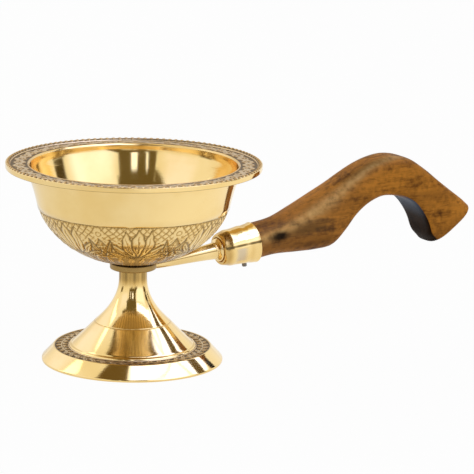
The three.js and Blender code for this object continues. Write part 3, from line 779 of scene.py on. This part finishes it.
def make_arm(material):
    """The eye is a round ring turned about the stem, with its faces moved in by slow ripples. A
    Bezier curve for the rod, a groove, half an ellipse for the bead, and the tang are one profile
    of radius and distance carried round the arm's own axis."""
    eye = softened(
        (EYE_BORE, EYE_BOTTOM + 1.4, 0), (EYE_BORE, EYE_BOTTOM, 0.2), (EYE_RADIUS, EYE_BOTTOM, 0.85),
        (EYE_RADIUS, EYE_TOP, 0.45), (EYE_BORE, EYE_TOP, 0.2), (EYE_BORE, EYE_BOTTOM + 1.5, 0), steps=5)
    filed = EYE_FILING * ripple(full_turn(EYE_COLUMNS) * 5, eye[:, 1:] * 2) - EYE_FILING
    ring = turned_grid(eye, EYE_COLUMNS, filed)
    marks = no_marks(ring)
    # darker all over, with painted shade at the top, in the gap under the bowl
    marks[..., DARK] = EYE_DARKENING + 0.3 * ease(eye[:, 1:], EYE_TOP - 0.5, EYE_TOP)
    marks[..., WEAR_AND_SHEEN] = 0.1
    rod = bezier(40, *ROD_POINTS)
    bead_turn = np.linspace(0.12, 0.88, 14)[:, None] * math.pi
    bead_end = ARM_LENGTH + BEAD_LENGTH
    profile = np.concatenate([
        rod, np.array(BEAD_GROOVE),
        np.concatenate([BEAD_NECK_RADIUS + (BEAD_RADIUS - BEAD_NECK_RADIUS) * np.sin(bead_turn),
                        ARM_LENGTH + BEAD_LENGTH / 2 * (1 - np.cos(bead_turn))], 1),
        softened((3.4, bead_end, 0), (TANG_RADIUS, bead_end, 0.2), (TANG_RADIUS, TANG_END, 1.2),
                 (0.3, TANG_END, 0))])
    bar = turned_grid(profile, ROD_COLUMNS)
    bar_marks = no_marks(bar)
    line = full_turn(ROD_COLUMNS) - 2 * math.pi - FERRULE_LINE_TURN
    # a painted dark reflection in a line along the rod, in line with the ferrule's
    bar_marks[:len(rod), :, DARK] = 0.75 * stroke(line, 0.11)
    skins = [shell(on_stem(ring), marks=marks), shell(on_arm(bar), closed_rows=False, marks=bar_marks)]
    piece("arm_and_eye", skins, "handle", "handle_arm", material)


def make_ferrule(material):
    """A sleeve about the arm's axis: a cup for the bead, a Bezier curve for the nose, and a side
    that widens evenly to the mouth, dented by slow ripples. The turn starts at the top, is minus
    a right angle on the viewer's side and 0 at the bottom."""
    nose = bezier(
        18, (6.3, FERRULE_START), (FERRULE_SHOULDER_RADIUS - 0.4, FERRULE_START + 0.5),
        (FERRULE_SHOULDER_RADIUS, FERRULE_START + FERRULE_NOSE))
    profile = np.concatenate([
        softened((2.9, CUP_FLOOR, 0), (CUP_RADIUS, CUP_FLOOR, 0.3), (CUP_RADIUS, FERRULE_START, 0.3),
                 (6.2, FERRULE_START, 0)), nose,
        even(np.array([(FERRULE_SHOULDER_RADIUS + 0.03, FERRULE_START + FERRULE_NOSE + 0.5),
                       (FERRULE_MOUTH_RADIUS - 0.02, FERRULE_END - 0.35)]), 16),
        softened((FERRULE_MOUTH_RADIUS, FERRULE_END - 0.3, 0), (FERRULE_MOUTH_RADIUS, FERRULE_END, 0.2),
                 (FERRULE_MOUTH_RADIUS - FERRULE_WALL, FERRULE_END, 0.2),
                 (7.3, FERRULE_START + 3.8, 0.5), (5.6, CUP_BACK, 0.3), (2.7, CUP_BACK, 0.1),
                 (2.7, CUP_FLOOR + 0.1, 0))])
    along = profile[:, 1:]
    turn = full_turn(FERRULE_COLUMNS) - math.pi
    outside = ease(profile[:, :1], 6.6, 7.6)
    blows = ripple(turn * 3 + along * 0.3, along * 0.8)
    dents = outside * (FERRULE_DENT * blows - 0.23) * (1 - ease(along, FERRULE_END - 2.0, FERRULE_END))
    grid = -turned_grid(profile, FERRULE_COLUMNS, dents) * np.array([1, 1, -1])
    beside = ease(turn, -1.68, -1.62) * (1 - ease(turn, -0.9, -0.8))
    marks = no_marks(grid)
    marks[..., DARK] = outside * (0.16 - 0.16 * blows)
    marks[..., DARK] += 0.4 * ease(along, FERRULE_START + 6.0, FERRULE_START)
    # a painted dark reflection of the shaded floor, in a line along the ferrule's side
    marks[..., DARK] += outside * (0.8 - 0.2 * blows) * stroke(turn - FERRULE_LINE_TURN, 0.075)
    # a painted pale sheen where a flat facet on the viewer's side of the ferrule catches the light
    marks[..., WEAR_AND_SHEEN] = FERRULE_FACET_SHEEN * outside * beside * stroke(along - FERRULE_START - 7.5, 2.9)
    skin = shell(on_arm(grid), marks=marks)
    piece("ferrule_sleeve", [skin], "handle", "ferrule", material)


def make_pin(material):
    """A round rod with softened ends, carried round the pin's axis."""
    low, high = PIN_END, PIN_END + PIN_DEPTH
    profile = softened(
        (0.02, low, 0), (PIN_RADIUS, low, 0.45), (PIN_RADIUS, high, 0.3), (0.02, high, 0), steps=6)
    skin = shell(on_pin(turned_grid(profile, PIN_COLUMNS)), closed_rows=False)
    piece("ferrule_cross_pin", [skin], "handle", "ferrule_pin", material)


def make_bolt(material):
    """A shank and a domed head carried round the stem's axis. Where a corner lies within the
    slot's half width of the middle, it drops to the slot's floor."""
    low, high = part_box("centre_bolt")
    bottom, top = low.z / MM, high.z / MM
    head = (high.x - low.x) / 2 / MM
    dome = bezier(60, (head, BOWL_FLOOR + (HEAD_EDGE + 0.05)), (head - 1.2, top), (0.05, top))
    profile = np.concatenate([
        softened((0.05, bottom, 0), (BOLT_RADIUS, bottom, 0.4), (BOLT_RADIUS, BOWL_FLOOR, 0.1),
                 (head, BOWL_FLOOR, 0.2), (head, BOWL_FLOOR + HEAD_EDGE, 0)),
        even(dome, 46)])
    grid = turned_grid(profile, BOLT_COLUMNS)
    floor = top - SLOT_DEPTH
    slot = (1 - ease(np.abs(grid[..., 1]), *SLOT_HALF_WIDTHS)) * (grid[..., 2] > floor)
    grid[..., 2] = grid[..., 2] * (1 - slot) + floor * slot
    marks = no_marks(grid)
    marks[..., DARK] = 0.6 * slot
    skin = shell(on_stem(grid), closed_rows=False, marks=marks)
    piece("bolt_with_slot", [skin], "stand", "centre_bolt", material)


def make_washer(material):
    """A flat ring with softened edges, turned about the stem."""
    low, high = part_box("foot_washer")
    bottom, top = low.z / MM, high.z / MM
    radius = (high.x - low.x) / 2 / MM
    middle = (bottom + top) / 2
    profile = softened(
        (BOLT_HOLE, middle, 0), (BOLT_HOLE, bottom, 0.1), (radius, bottom, 0.3), (radius, top, 0.2),
        (BOLT_HOLE, top, 0.1), (BOLT_HOLE, middle + 0.05, 0))
    skin = shell(on_stem(turned_grid(profile, WASHER_COLUMNS)))
    piece("washer_disc", [skin], "stand", "foot_washer", material)


# Grip

def grip_sections(steps):
    """Back, belly, half width and squareness along the grip, through its stations."""
    mouth = ahead_of_eye(FERRULE_END, 0)
    scale = np.array([GRIP_REACH, GRIP_RISE])
    start = FERRULE_END + GRIP_GAP
    table = GRIP_STATION_SHARES
    back = [ahead_of_eye(start, GRIP_NECK_LIFT + GRIP_NECK_RADIUS)]
    belly = [ahead_of_eye(start, GRIP_NECK_LIFT - GRIP_NECK_RADIUS)]
    back = np.concatenate([back, mouth + table[:, 0:2] * scale])
    belly = np.concatenate([belly, mouth + table[:, 2:4] * scale])
    form = np.concatenate([[[GRIP_NECK_RADIUS, 2.0]], table[:, 4:6] * np.array([GRIP_WIDTH / 2, 1])])
    return centripetal(back, steps), centripetal(belly, steps), centripetal(form, steps)


def make_grip(material):
    """Each section is a superellipse between back and belly: cosine and sine of the turn, each
    raised to a power that falls as the section gets squarer. The end is drawn in along a quarter
    of a circle, and a stepped front fits inside the ferrule."""
    back, belly, form = grip_sections(14)
    middle = (back + belly) / 2
    half = (back - belly) / 2
    out = np.stack([half[:, 1], -half[:, 0]], -1)
    out /= np.linalg.norm(out, axis=1, keepdims=True)
    angle = np.linspace(0, math.pi / 2, 12)[1:-1]
    size = np.concatenate([np.ones(len(middle)), np.cos(angle)])[:, None]
    middle = np.concatenate([middle, middle[-1] + out[-1] * GRIP_END_ROUND * np.sin(angle)[:, None]])
    half = np.concatenate([half, np.repeat(half[-1:], len(angle), 0)])
    form = np.concatenate([form, np.repeat(form[-1:], len(angle), 0)])
    turn = full_turn(GRIP_COLUMNS)
    share = np.linspace(0, 1, len(middle))[:, None]
    upper, sideways = np.cos(turn), np.abs(np.sin(turn))
    hook = ease(share, 0.55, 0.66) * (upper < 0)
    power = 2 / (form[:, 1:] * (1 + 0.9 * hook * (1 - ease(share, 0.82, 0.95))))
    lift = np.sign(upper) * np.abs(upper) ** power * size
    side = np.sign(np.sin(turn)) * sideways ** power * size * form[:, :1]
    x = middle[:, :1] + half[:, :1] * lift
    z = middle[:, 1:] + half[:, 1:] * lift
    grid = np.stack([x, side, z], -1)
    around = np.arctan2(sideways, upper)
    marks = no_marks(grid)
    # painted shade under the hook, painted shade in a dark streak on the upper back, another dark streak
    # below, and a painted highlight along the ridge
    marks[..., DARK] = hook * ease(-upper - sideways, -0.1, 0.06) * ease(share, 0.52, 0.68)
    marks[..., DARK] += 0.42 * spot((around - 0.5) / 0.3, (share - 0.42) / 0.13)
    marks[..., DARK] += 0.35 * spot((around - 2.2) / 0.2, (share - 0.2) / 0.08)
    marks[..., WEAR_AND_SHEEN] = spot((around - 1.3 + 1.6 * share) / 0.27) * (1 - ease(share, 0.5, 0.66))
    tip, step, full = GRIP_FRONT_RADII
    front = np.concatenate([
        softened((0.3, GRIP_FRONT, 0), (tip, GRIP_FRONT, 0.3), (step, GRIP_FRONT + 1.0, 0.3),
                 (full, FERRULE_END, 0.2), (full, FERRULE_END + 1.0, 0)),
        np.array([(0.3, FERRULE_END + 1.2)])])
    skins = [shell(on_stem(grid), closed_rows=False, marks=marks),
             shell(on_arm(turned_grid(front, GRIP_COLUMNS)), closed_rows=False)]
    piece("grip_carved", skins, "handle", "wooden_grip", material)


# Materials

class Shade:
    """A number that varies over a surface. Sums and products of it become Math nodes."""

    def __init__(self, finish, socket):
        self.finish = finish
        self.socket = socket

    def _math(self, operation, *values):
        return self.finish.node("ShaderNodeMath", {"operation": operation}, dict(enumerate(values)))

    def __add__(self, other):
        return self._math("ADD", self, other)

    def __sub__(self, other):
        return self._math("SUBTRACT", self, other)

    def __rsub__(self, other):
        return self._math("SUBTRACT", other, self)

    def __mul__(self, other):
        return self._math("MULTIPLY", self, other)

    def __pow__(self, other):
        return self._math("POWER", self, other)

    def highest(self, other):
        """The greater of the two."""
        return self._math("MAXIMUM", self, other)

    def between(self, low, high):
        """0 below low and 1 above high."""
        return self.finish.node("ShaderNodeMapRange", {"interpolation_type": "SMOOTHSTEP"},
                                {"Value": self, "From Min": low, "From Max": high})

    __radd__ = __add__
    __rmul__ = __mul__


class Finish:
    """One material and the nodes that make it."""

    def __init__(self, tree):
        self.tree = tree

    def node(self, kind, settings, inputs, output=0):
        """A node of this kind: its settings are set first, then its sockets' values or links. A
        ramp's stops are pairs of place and colour."""
        made = self.tree.nodes.new(kind)
        for key, value in settings.items():
            if key == "stops":
                for element, (place, colour) in zip(made.color_ramp.elements, value):
                    element.position = place
                    element.color = (*colour, 1)
            else:
                setattr(made, key, value)
        for key, value in inputs.items():
            self.join(value, made.inputs[key])
        return Shade(self, made.outputs[output])

    def join(self, value, socket):
        """Links a Shade to a socket, or writes a plain value into it."""
        if isinstance(value, Shade):
            self.tree.links.new(value.socket, socket)
        else:
            socket.default_value = value

    def noise(self, where, scale, detail=3.0, roughness=0.5):
        """Cloudy noise around a half, with this many clouds to the metre."""
        return self.node("ShaderNodeTexNoise", {}, {
            "Vector": where, "Scale": scale, "Detail": detail, "Roughness": roughness}, "Fac")

    def colour(self, share, first, second):
        """Blends two colours by a share. A colour is a tuple or another Shade."""
        first, second = (value if isinstance(value, Shade) else (*value, 1) for value in (first, second))
        return self.node("ShaderNodeMix", {"data_type": "RGBA"}, {0: share, 6: first, 7: second}, 2)

    def where(self, location=(0, 0, 0), rotation=(0, 0, 0), scale=(1, 1, 1)):
        """Object coordinates, moved, turned and scaled."""
        place = self.node("ShaderNodeTexCoord", {}, {}, "Object")
        moved = self.node("ShaderNodeMapping", {}, {"Vector": place, "Location": location})
        return self.node("ShaderNodeMapping", {}, {"Vector": moved, "Rotation": rotation, "Scale": scale})

    def parts(self, where):
        """The three numbers of a place."""
        return [self.node("ShaderNodeSeparateXYZ", {}, {0: where}, i) for i in range(3)]

    def bump(self, height, distance, strength=1.0):
        """Tilts the surface as if the height, times the distance, stood on it."""
        return self.node(
            "ShaderNodeBump", {}, {"Height": height, "Distance": distance, "Strength": strength})

    def mark(self, name):
        """The mark that the piece's corners carry under this name."""
        return self.node("ShaderNodeAttribute", {"attribute_name": name}, {}, "Fac")


def new_material(name):
    """A new material, its nodes and its principled surface."""
    material = bpy.data.materials.new(name)
    material.use_nodes = True
    tree = material.node_tree
    return material, Finish(tree), tree.nodes["Principled BSDF"]


def new_finish(name, colour, roughness, normal, metallic, gloss=0.5):
    """Material whose colour, roughness and normal are built by functions of the finish, while
    metallic and gloss are the same all over."""
    material, finish, surface = new_material(name)
    finish.join(colour(finish), surface.inputs["Base Color"])
    finish.join(roughness(finish), surface.inputs["Roughness"])
    finish.join(normal(finish), surface.inputs["Normal"])
    surface.inputs["Metallic"].default_value = metallic
    surface.inputs["Specular IOR Level"].default_value = gloss
    return material


# Brass colours: gold under light old polish and painted shade, dark in a recess of the polished face and of
# the face with wear, from old polish and from painted shade, and aged for wear and for the painted sheen of
# a facet
GOLD = (0.62, 0.36, 0.085)
DIRT_AND_SHADE = (0.13, 0.085, 0.03)
SOOT_AND_SHADE = (0.15, 0.125, 0.09)
AGED_BRASS_AND_SHEEN = (0.6, 0.53, 0.42)
# Turning rings to the metre, and how deep the finest marks of brass, wood and steel are
RING_COUNT = 2600.0
FINE_DEPTH = 0.06 * MM
STEEL_DEPTH = 0.05 * MM


def brass(name, light, deep, polish):
    """Polished brass: warm and slightly uneven, with fine turning rings about the stem. Engraved zones are
    duller and greyer, and brown with old polish in their recesses. The same marks paint shade in gaps and
    under edges, dark reflections in lines, and a pale sheen on a facet of the ferrule."""

    def colour(finish):
        dark, wear_and_sheen = finish.mark("dark"), finish.mark("wear_and_sheen")
        cloud = finish.noise(finish.where(), 55.0, 4.0)
        metal = finish.colour(cloud.between(0.35, 0.7), light, deep)
        metal = finish.colour(wear_and_sheen * (cloud * 0.7 + 0.6), metal, AGED_BRASS_AND_SHEEN)
        metal = finish.colour(dark.between(0.0, 0.6) * 0.75, metal, GOLD)
        return finish.colour(dark.between(0.3, 1.0) * 0.92, metal, finish.colour(wear_and_sheen, DIRT_AND_SHADE, SOOT_AND_SHADE))

    def roughness(finish):
        smear = finish.noise(finish.where(), 130.0, 5.0)
        return smear * 0.07 + (polish - 0.03) + finish.mark("dark") * 0.25 + finish.mark("wear_and_sheen") * 0.32

    def normal(finish):
        x, y, z = finish.parts(finish.where(location=(-STEM_X, 0, 0)))
        radius = (x * x + y * y) ** 0.5
        rings = finish.node("ShaderNodeCombineXYZ", {}, {0: radius * RING_COUNT, 1: z * RING_COUNT})
        fine = finish.noise(rings, 1.0, 2.0)
        wave = finish.noise(finish.where(), 60.0, 1.0)
        return finish.bump(fine * 0.2 + wave * 0.6, FINE_DEPTH)

    return new_finish(name, colour, roughness, normal, 1.0)


def steel(name):
    """Dull steel, mottled and slightly pitted."""

    def colour(finish):
        return finish.colour(finish.noise(finish.where(), 300.0), (0.12, 0.1, 0.08), (0.3, 0.27, 0.23))

    def roughness(finish):
        return finish.noise(finish.where(), 700.0) * 0.3 + 0.3

    def normal(finish):
        return finish.bump(finish.noise(finish.where(), 1500.0, 4.0), STEEL_DEPTH)

    return new_finish(name, colour, roughness, normal, 1.0)


# Wood colours
DEEP_WOOD = (0.09, 0.03, 0.007)
PALE_WOOD = (0.76, 0.3, 0.04)
GREY_WOOD = (0.25, 0.2, 0.14)
BAND_WOOD = (0.13, 0.052, 0.014)
PORE_WOOD = (0.08, 0.025, 0.006)
# painted highlight along the grip's ridge
RIDGE_HIGHLIGHT_WOOD = (0.92, 0.56, 0.21)
TRAIL_WOOD = (0.08, 0.055, 0.025)
KNOT_WOOD = (0.01, 0.006, 0.003)
# painted shade under the hook, and a painted blue-grey reflection at its top
HOOK_SHADE = (0.004, 0.002, 0.001)
HOOK_SHEEN = (0.08, 0.115, 0.17)
GRAIN_SLANT = (0, 0.42, 0)
KNOT_PLACE = (STEM_X + 68.5 * MM, 0.0, 49.5 * MM)
KNOT_SLANT = (0, 0.16, 0)


def grain(finish, along, across, detail):
    """Noise that is drawn out along the grip, with its pitch along and across."""
    return finish.noise(finish.where(rotation=GRAIN_SLANT, scale=(along, across, across)), 1.0, detail, 0.6)


def knotted(finish, base, streak, fleck):
    """Lays one dark knot and the brown trail ahead of it over the wood: each is an ellipse about
    its own middle, with edges broken up by the grain."""
    x, _, z = finish.parts(finish.where(location=[-value for value in KNOT_PLACE], rotation=KNOT_SLANT))
    far = (((x - 14 * MM) * 75.0) ** 2.0 + (z * 330.0) ** 2.0) ** 0.5
    trail = 1.0 - (far + streak).between(0.8, 1.7)
    base = finish.colour(trail * 0.65, base, TRAIL_WOOD)
    far = ((x * 170.0) ** 2.0 + (z * 360.0) ** 2.0) ** 0.5
    knot = 1.0 - (far + streak * 0.5 + fleck * 0.3).between(0.65, 1.6)
    return finish.colour(knot * 0.97, base, KNOT_WOOD)


def wood(name):
    """Carved hardwood under satin lacquer: streaks along the grain, broad dark bands, darker pores, a
    painted highlight along the ridge, one dark knot near the ferrule, painted shade on the upper back and
    under the hook, and a painted blue-grey reflection at the top of the hook's face."""

    def colour(finish):
        x, _, z = finish.parts(finish.where())
        streak = grain(finish, 26.0, 210.0, 6.0)
        pores = grain(finish, 120.0, 1100.0, 3.0)
        band = grain(finish, 13.0, 105.0, 3.0)
        cloud = finish.noise(finish.where(), 40.0, 3.0)
        fleck = finish.noise(finish.where(), 420.0, 2.0)
        tone = streak * 0.46 + cloud * 0.34 + fleck * 0.2
        stops = ((0.0, DEEP_WOOD), (1.0, PALE_WOOD))
        base = finish.node("ShaderNodeValToRGB", {"stops": stops}, {0: tone.between(0.35, 0.59)})
        base = finish.colour(0.25 - x.between(0.0, 70 * MM) * 0.25, base, GREY_WOOD)
        base = finish.colour(band.between(0.5, 0.62) * 0.36, base, BAND_WOOD)
        base = finish.colour(pores.between(0.55, 0.7) * 0.4, base, PORE_WOOD)
        # painted highlight along the ridge, broken up by the grain
        ridge_highlight = finish.mark("wear_and_sheen") * (fleck * 1.5 + streak * 0.8 - 0.5)
        base = knotted(finish, finish.colour(ridge_highlight, base, RIDGE_HIGHLIGHT_WOOD), streak, fleck)
        # painted shade under the hook and on the upper back, with a painted blue-grey reflection towards
        # the hook's top
        high = z.between(49 * MM, 59 * MM) * x.between(66 * MM, 72 * MM)
        shaded = finish.colour(high, HOOK_SHADE, HOOK_SHEEN)
        return finish.colour(finish.mark("dark") * 0.97, base, shaded)

    def roughness(finish):
        return grain(finish, 60.0, 400.0, 3.0) * 0.16 + 0.34

    def normal(finish):
        pores = grain(finish, 120.0, 1100.0, 3.0)
        return finish.bump(1.0 - pores.between(0.5, 0.75), FINE_DEPTH, 0.7)

    return new_finish(name, colour, roughness, normal, 0.0, gloss=0.03)


# Studio, in metres and degrees. Strengths are shares of white
STAGE_HEIGHT = 0.05
FLOOR_SIZE = 6
ROOM_LIGHT = 0.35
FLOOR_GLOW = 0.97
FLOOR_MIRRORED_GLOW = 0.7
FLOOR_SIDE_GLOW = 0.3
CARD_STEPS = 17
# Cards: reach, colour, softness of the edges, and patches as make_card takes them
CARDS = {
    # dark front round a narrow and a wide bright pane, and two slanting patches low on the right
    "card_front": (1.2, (0.15, 0.115, 0.045), 0, (
        (-26.5, -19, 6, 34, 0), (-20, -14.9, 6, 34, -0.12), (-12.8, -6, 4, 34, -0.1), (-10, -3.9, 2, 34, 0),
        (3.4, 19, 6, 34, 0), (-17, 4.5, 6, 13, 0), (-4.5, 4.5, 12, 16, 0), (-20, 4.5, 29, 34, 0),
        (-40, 22, 32, 58, 0), (-26.5, -15, 26.8, 34, -2.8), (19, 36, 1, 9.5, -1.1),
        (10, 27.5, 9.5, 17, -1.1))),
    # glowing window panes, brighter than white, seen only as painted reflections
    "glowing_window": (1.26, (1.7, 1.9, 2.6), 0, ((-21, 5, 10, 31, 0),)),
    # dark cards high on the left, on the right, and low on the left
    "card_above": (1.21, (0.16, 0.11, 0.04), 0, ((-63, -40, 46, 86, 0), (-40, -10, 58, 86, 0))),
    "card_side": (1.22, (0.14, 0.1, 0.04), 0, (
        (92, 106, -2, 20, 0), (82, 95, -2, 20, 0.5), (96, 112, 20, 50, 0.6))),
    "card_corner": (1.21, (0.08, 0.06, 0.025), 0.15, ((88, 107, 8, 22, 0.2),)),
    "card_left": (1.22, (0.17, 0.13, 0.05), 0.2, ((-98, -76, -2, 9, -0.3),)),
    # golden card behind and above the censer, and a pale one below it
    "card_back": (1.22, (0.6, 0.4, 0.12), 0.15, ((135, 210, 38, 74, 0),)),
    "card_behind": (1.22, (0.78, 0.74, 0.68), 0.25, ((150, 215, -2, 36, 0),)),
    # bright cards above and on the right, and paler ones on the left: they glow brighter than white but
    # light nothing, as painted reflections of bright lights
    "glowing_panel_bright": (1.24, (2.2, 2.5, 4.2), 0.08, (
        (-10, 125, 56, 84, 0), (98, 128, 24, 56, 0), (24, 98, 34, 56, 0))),
    "glowing_panel_clear": (1.23, (1.3, 1.45, 1.9), 0.22, ((18, 88, -2, 38, 0),)),
    "glowing_panel_pale": (1.24, (1.1, 1.12, 1.35), 0.3, ((-86, -30, 10, 44, 0), (-150, -110, 8, 60, 0))),
}
# Softboxes: side, rise, reach, width, height and brightness
SOFTBOXES = {
    "softbox_right": (62, 46, 1.5, 1.0, 0.8, 1.3),
    "softbox_left": (-128, 34, 1.5, 1.4, 0.9, 1.2),
}


def seen_by(finish, *kinds):
    """1 for rays of these kinds and 0 for all others."""
    seen, *others = [finish.node("ShaderNodeLightPath", {}, {}, kind) for kind in kinds]
    for other in others:
        seen = seen.highest(other)
    return seen


def matt_material(name, grey, roughness):
    """Material of one grey without gloss, its nodes and its surface."""
    material, finish, surface = new_material(name)
    surface.inputs["Base Color"].default_value = (grey, grey, grey, 1)
    surface.inputs["Roughness"].default_value = roughness
    surface.inputs["Specular IOR Level"].default_value = 0.0
    return material, finish, surface


def make_room():
    """The world reads as white to the eye and in reflections, and lights the rest less."""
    world = bpy.data.worlds.new("white_room")
    bpy.context.scene.world = world
    world.use_nodes = True
    room = Finish(world.node_tree)
    seen = seen_by(room, "Is Camera Ray", "Is Glossy Ray", "Is Transmission Ray")
    background = room.tree.nodes["Background"]
    background.inputs["Color"].default_value = (1, 1, 1, 1)
    room.join(seen * (1 - ROOM_LIGHT) + ROOM_LIGHT, background.inputs["Strength"])


def make_floor():
    """Pale floor that takes shadows. It glows white to the eye, and less in reflections, where it
    is brighter on the viewer's right."""
    bpy.ops.mesh.primitive_plane_add(size=FLOOR_SIZE, location=(0, 0, 0))
    floor = bpy.context.object
    floor.name = "white_floor"
    material, table, surface = matt_material("white_floor", 0.9, 0.9)
    mirrored = seen_by(table, "Is Glossy Ray", "Is Transmission Ray")
    y = table.parts(table.where(location=(-STEM_X, 0, 0), rotation=(0, 0, -VIEWER_TURN)))[1]
    in_mirror = y.between(-0.06, 0.14) * FLOOR_SIDE_GLOW + FLOOR_MIRRORED_GLOW
    glowing = seen_by(table, "Is Camera Ray") * FLOOR_GLOW + mirrored * in_mirror
    matt = Shade(table, surface.outputs[0])
    glow = table.node("ShaderNodeEmission", {}, {})
    mixed = table.node("ShaderNodeMixShader", {}, {0: glowing, 1: matt, 2: glow})
    table.join(mixed, table.tree.nodes["Material Output"].inputs[0])
    floor.data.materials.append(material)


def towards(side, rise, reach):
    """Place at this reach from the censer. side is the angle to the right of the viewer's place,
    and rise the angle above the floor, both in degrees."""
    angle = VIEWER_TURN + np.radians(side)
    rise = np.radians(rise)
    flat = reach * np.cos(rise)
    up = STAGE_HEIGHT + reach * np.sin(rise)
    return np.stack([STEM_X + flat * np.cos(angle), flat * np.sin(angle), up], -1)


def make_card(name, reach, shade, soft, patches):
    """Card seen only in reflections in the metal, dark or bright, which fades into the white room along its
    edges over the share soft of its size. It glows with its own colour and lights nothing, so the bright
    cards are painted reflections of bright lights. Each patch is part of a ball round the censer: its least
    and greatest side, its least and greatest rise, and how far it slants."""
    points, faces, solid = [], [], []
    steps = np.linspace(0, 1, CARD_STEPS)
    edge = np.minimum(steps, 1 - steps) + 1e-6
    fade = ease(np.minimum(edge[:, None], edge[None, :]), -1e-9, max(soft, 1e-7)).ravel()
    for left, right, low, high, slant in patches:
        side, rise = np.meshgrid(left + (right - left) * steps, low + (high - low) * steps)
        index = np.arange(CARD_STEPS ** 2).reshape(CARD_STEPS, CARD_STEPS) + CARD_STEPS ** 2 * len(points)
        corners = np.stack([index[:-1, :-1], index[:-1, 1:], index[1:, 1:], index[1:, :-1]], -1)
        points.append(towards(side + slant * (rise - low), rise, reach).reshape(-1, 3))
        faces += corners.reshape(-1, 4).tolist()
        solid.append(fade)
    mesh = bpy.data.meshes.new(name)
    mesh.from_pydata(np.concatenate(points).tolist(), [], faces)
    write_mark(mesh, "solid", np.concatenate(solid))
    made = add_object(name, mesh)
    material, finish, surface = matt_material(name, 0, 1.0)
    finish.join(finish.colour(finish.mark("solid"), (1, 1, 1), shade), surface.inputs["Emission Color"])
    surface.inputs["Emission Strength"].default_value = 1.0
    mesh.materials.append(material)
    made.visible_camera = False
    made.visible_diffuse = False
    made.visible_shadow = False


def make_softbox(name, side, rise, reach, width, height, brightness):
    """Lamp behind a cloth, aimed at the censer. brightness is how bright its face looks, where 1
    is as white as the room."""
    light = bpy.data.lights.new(name, "AREA")
    light.shape = "RECTANGLE"
    light.size = width
    light.size_y = height
    light.energy = brightness * math.pi * width * height
    made = add_object(name, light)
    made.location = towards(side, rise, reach)
    aim = Vector((STEM_X, 0, STAGE_HEIGHT)) - made.location
    made.rotation_mode = "QUATERNION"
    made.rotation_quaternion = aim.to_track_quat("-Z", "Y")


# Camera: solved from the photograph's circles, then turned with the handle's own plane
HANDLE_TURN = math.radians(28.0)
CAMERA_REACH = 1186.424 * MM
CAMERA_HEIGHT = 323.964 * MM
CAMERA_AZIMUTH = math.radians(30.1515)
CAMERA_PITCH = math.radians(12.7868)
CAMERA_ROLL = math.radians(1.0585)
CAMERA_LENS = 214.64
CAMERA_SENSOR = 36


def make_camera():
    """Camera on the viewer's side, which looks ahead along its azimuth and down by its pitch."""
    flat = math.cos(CAMERA_PITCH)
    ahead = Vector((
        math.sin(CAMERA_AZIMUTH) * flat, math.cos(CAMERA_AZIMUTH) * flat, -math.sin(CAMERA_PITCH)))
    right = Vector((math.cos(CAMERA_AZIMUTH), -math.sin(CAMERA_AZIMUTH), 0))
    up = right.cross(ahead)
    level = math.cos(CAMERA_ROLL) * right + math.sin(CAMERA_ROLL) * up
    crown = math.cos(CAMERA_ROLL) * up - math.sin(CAMERA_ROLL) * right
    data = bpy.data.cameras.new("camera")
    data.sensor_width = CAMERA_SENSOR
    data.lens = CAMERA_LENS
    camera = add_object("camera", data)
    turn = Matrix((level, crown, -ahead)).transposed().to_4x4()
    place = Vector((STEM_X - CAMERA_REACH * math.sin(HANDLE_TURN), -CAMERA_REACH * math.cos(HANDLE_TURN),
                    CAMERA_HEIGHT))
    camera.matrix_world = Matrix.Translation(place) @ turn
    bpy.context.scene.camera = camera


make_camera()
make_room()
make_floor()
for name, values in CARDS.items():
    make_card(name, *values)
for name, values in SOFTBOXES.items():
    make_softbox(name, *values)

polished = brass("polished_brass", (0.95, 0.71, 0.32), (0.9, 0.64, 0.25), 0.08)
cast = brass("cast_brass", (0.93, 0.7, 0.33), (0.8, 0.57, 0.23), 0.16)
iron = steel("plain_steel")
grip_wood = wood("grip_wood")

make_bowl(polished)
make_stem(polished)
make_foot(polished)
make_bolt(polished)
make_washer(iron)
make_arm(cast)
make_ferrule(polished)
make_pin(iron)
make_grip(grip_wood)
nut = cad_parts["foot_nut"]
nut.data.materials.clear()
nut.data.materials.append(iron)

bpy.context.scene.view_settings.view_transform = "Standard"
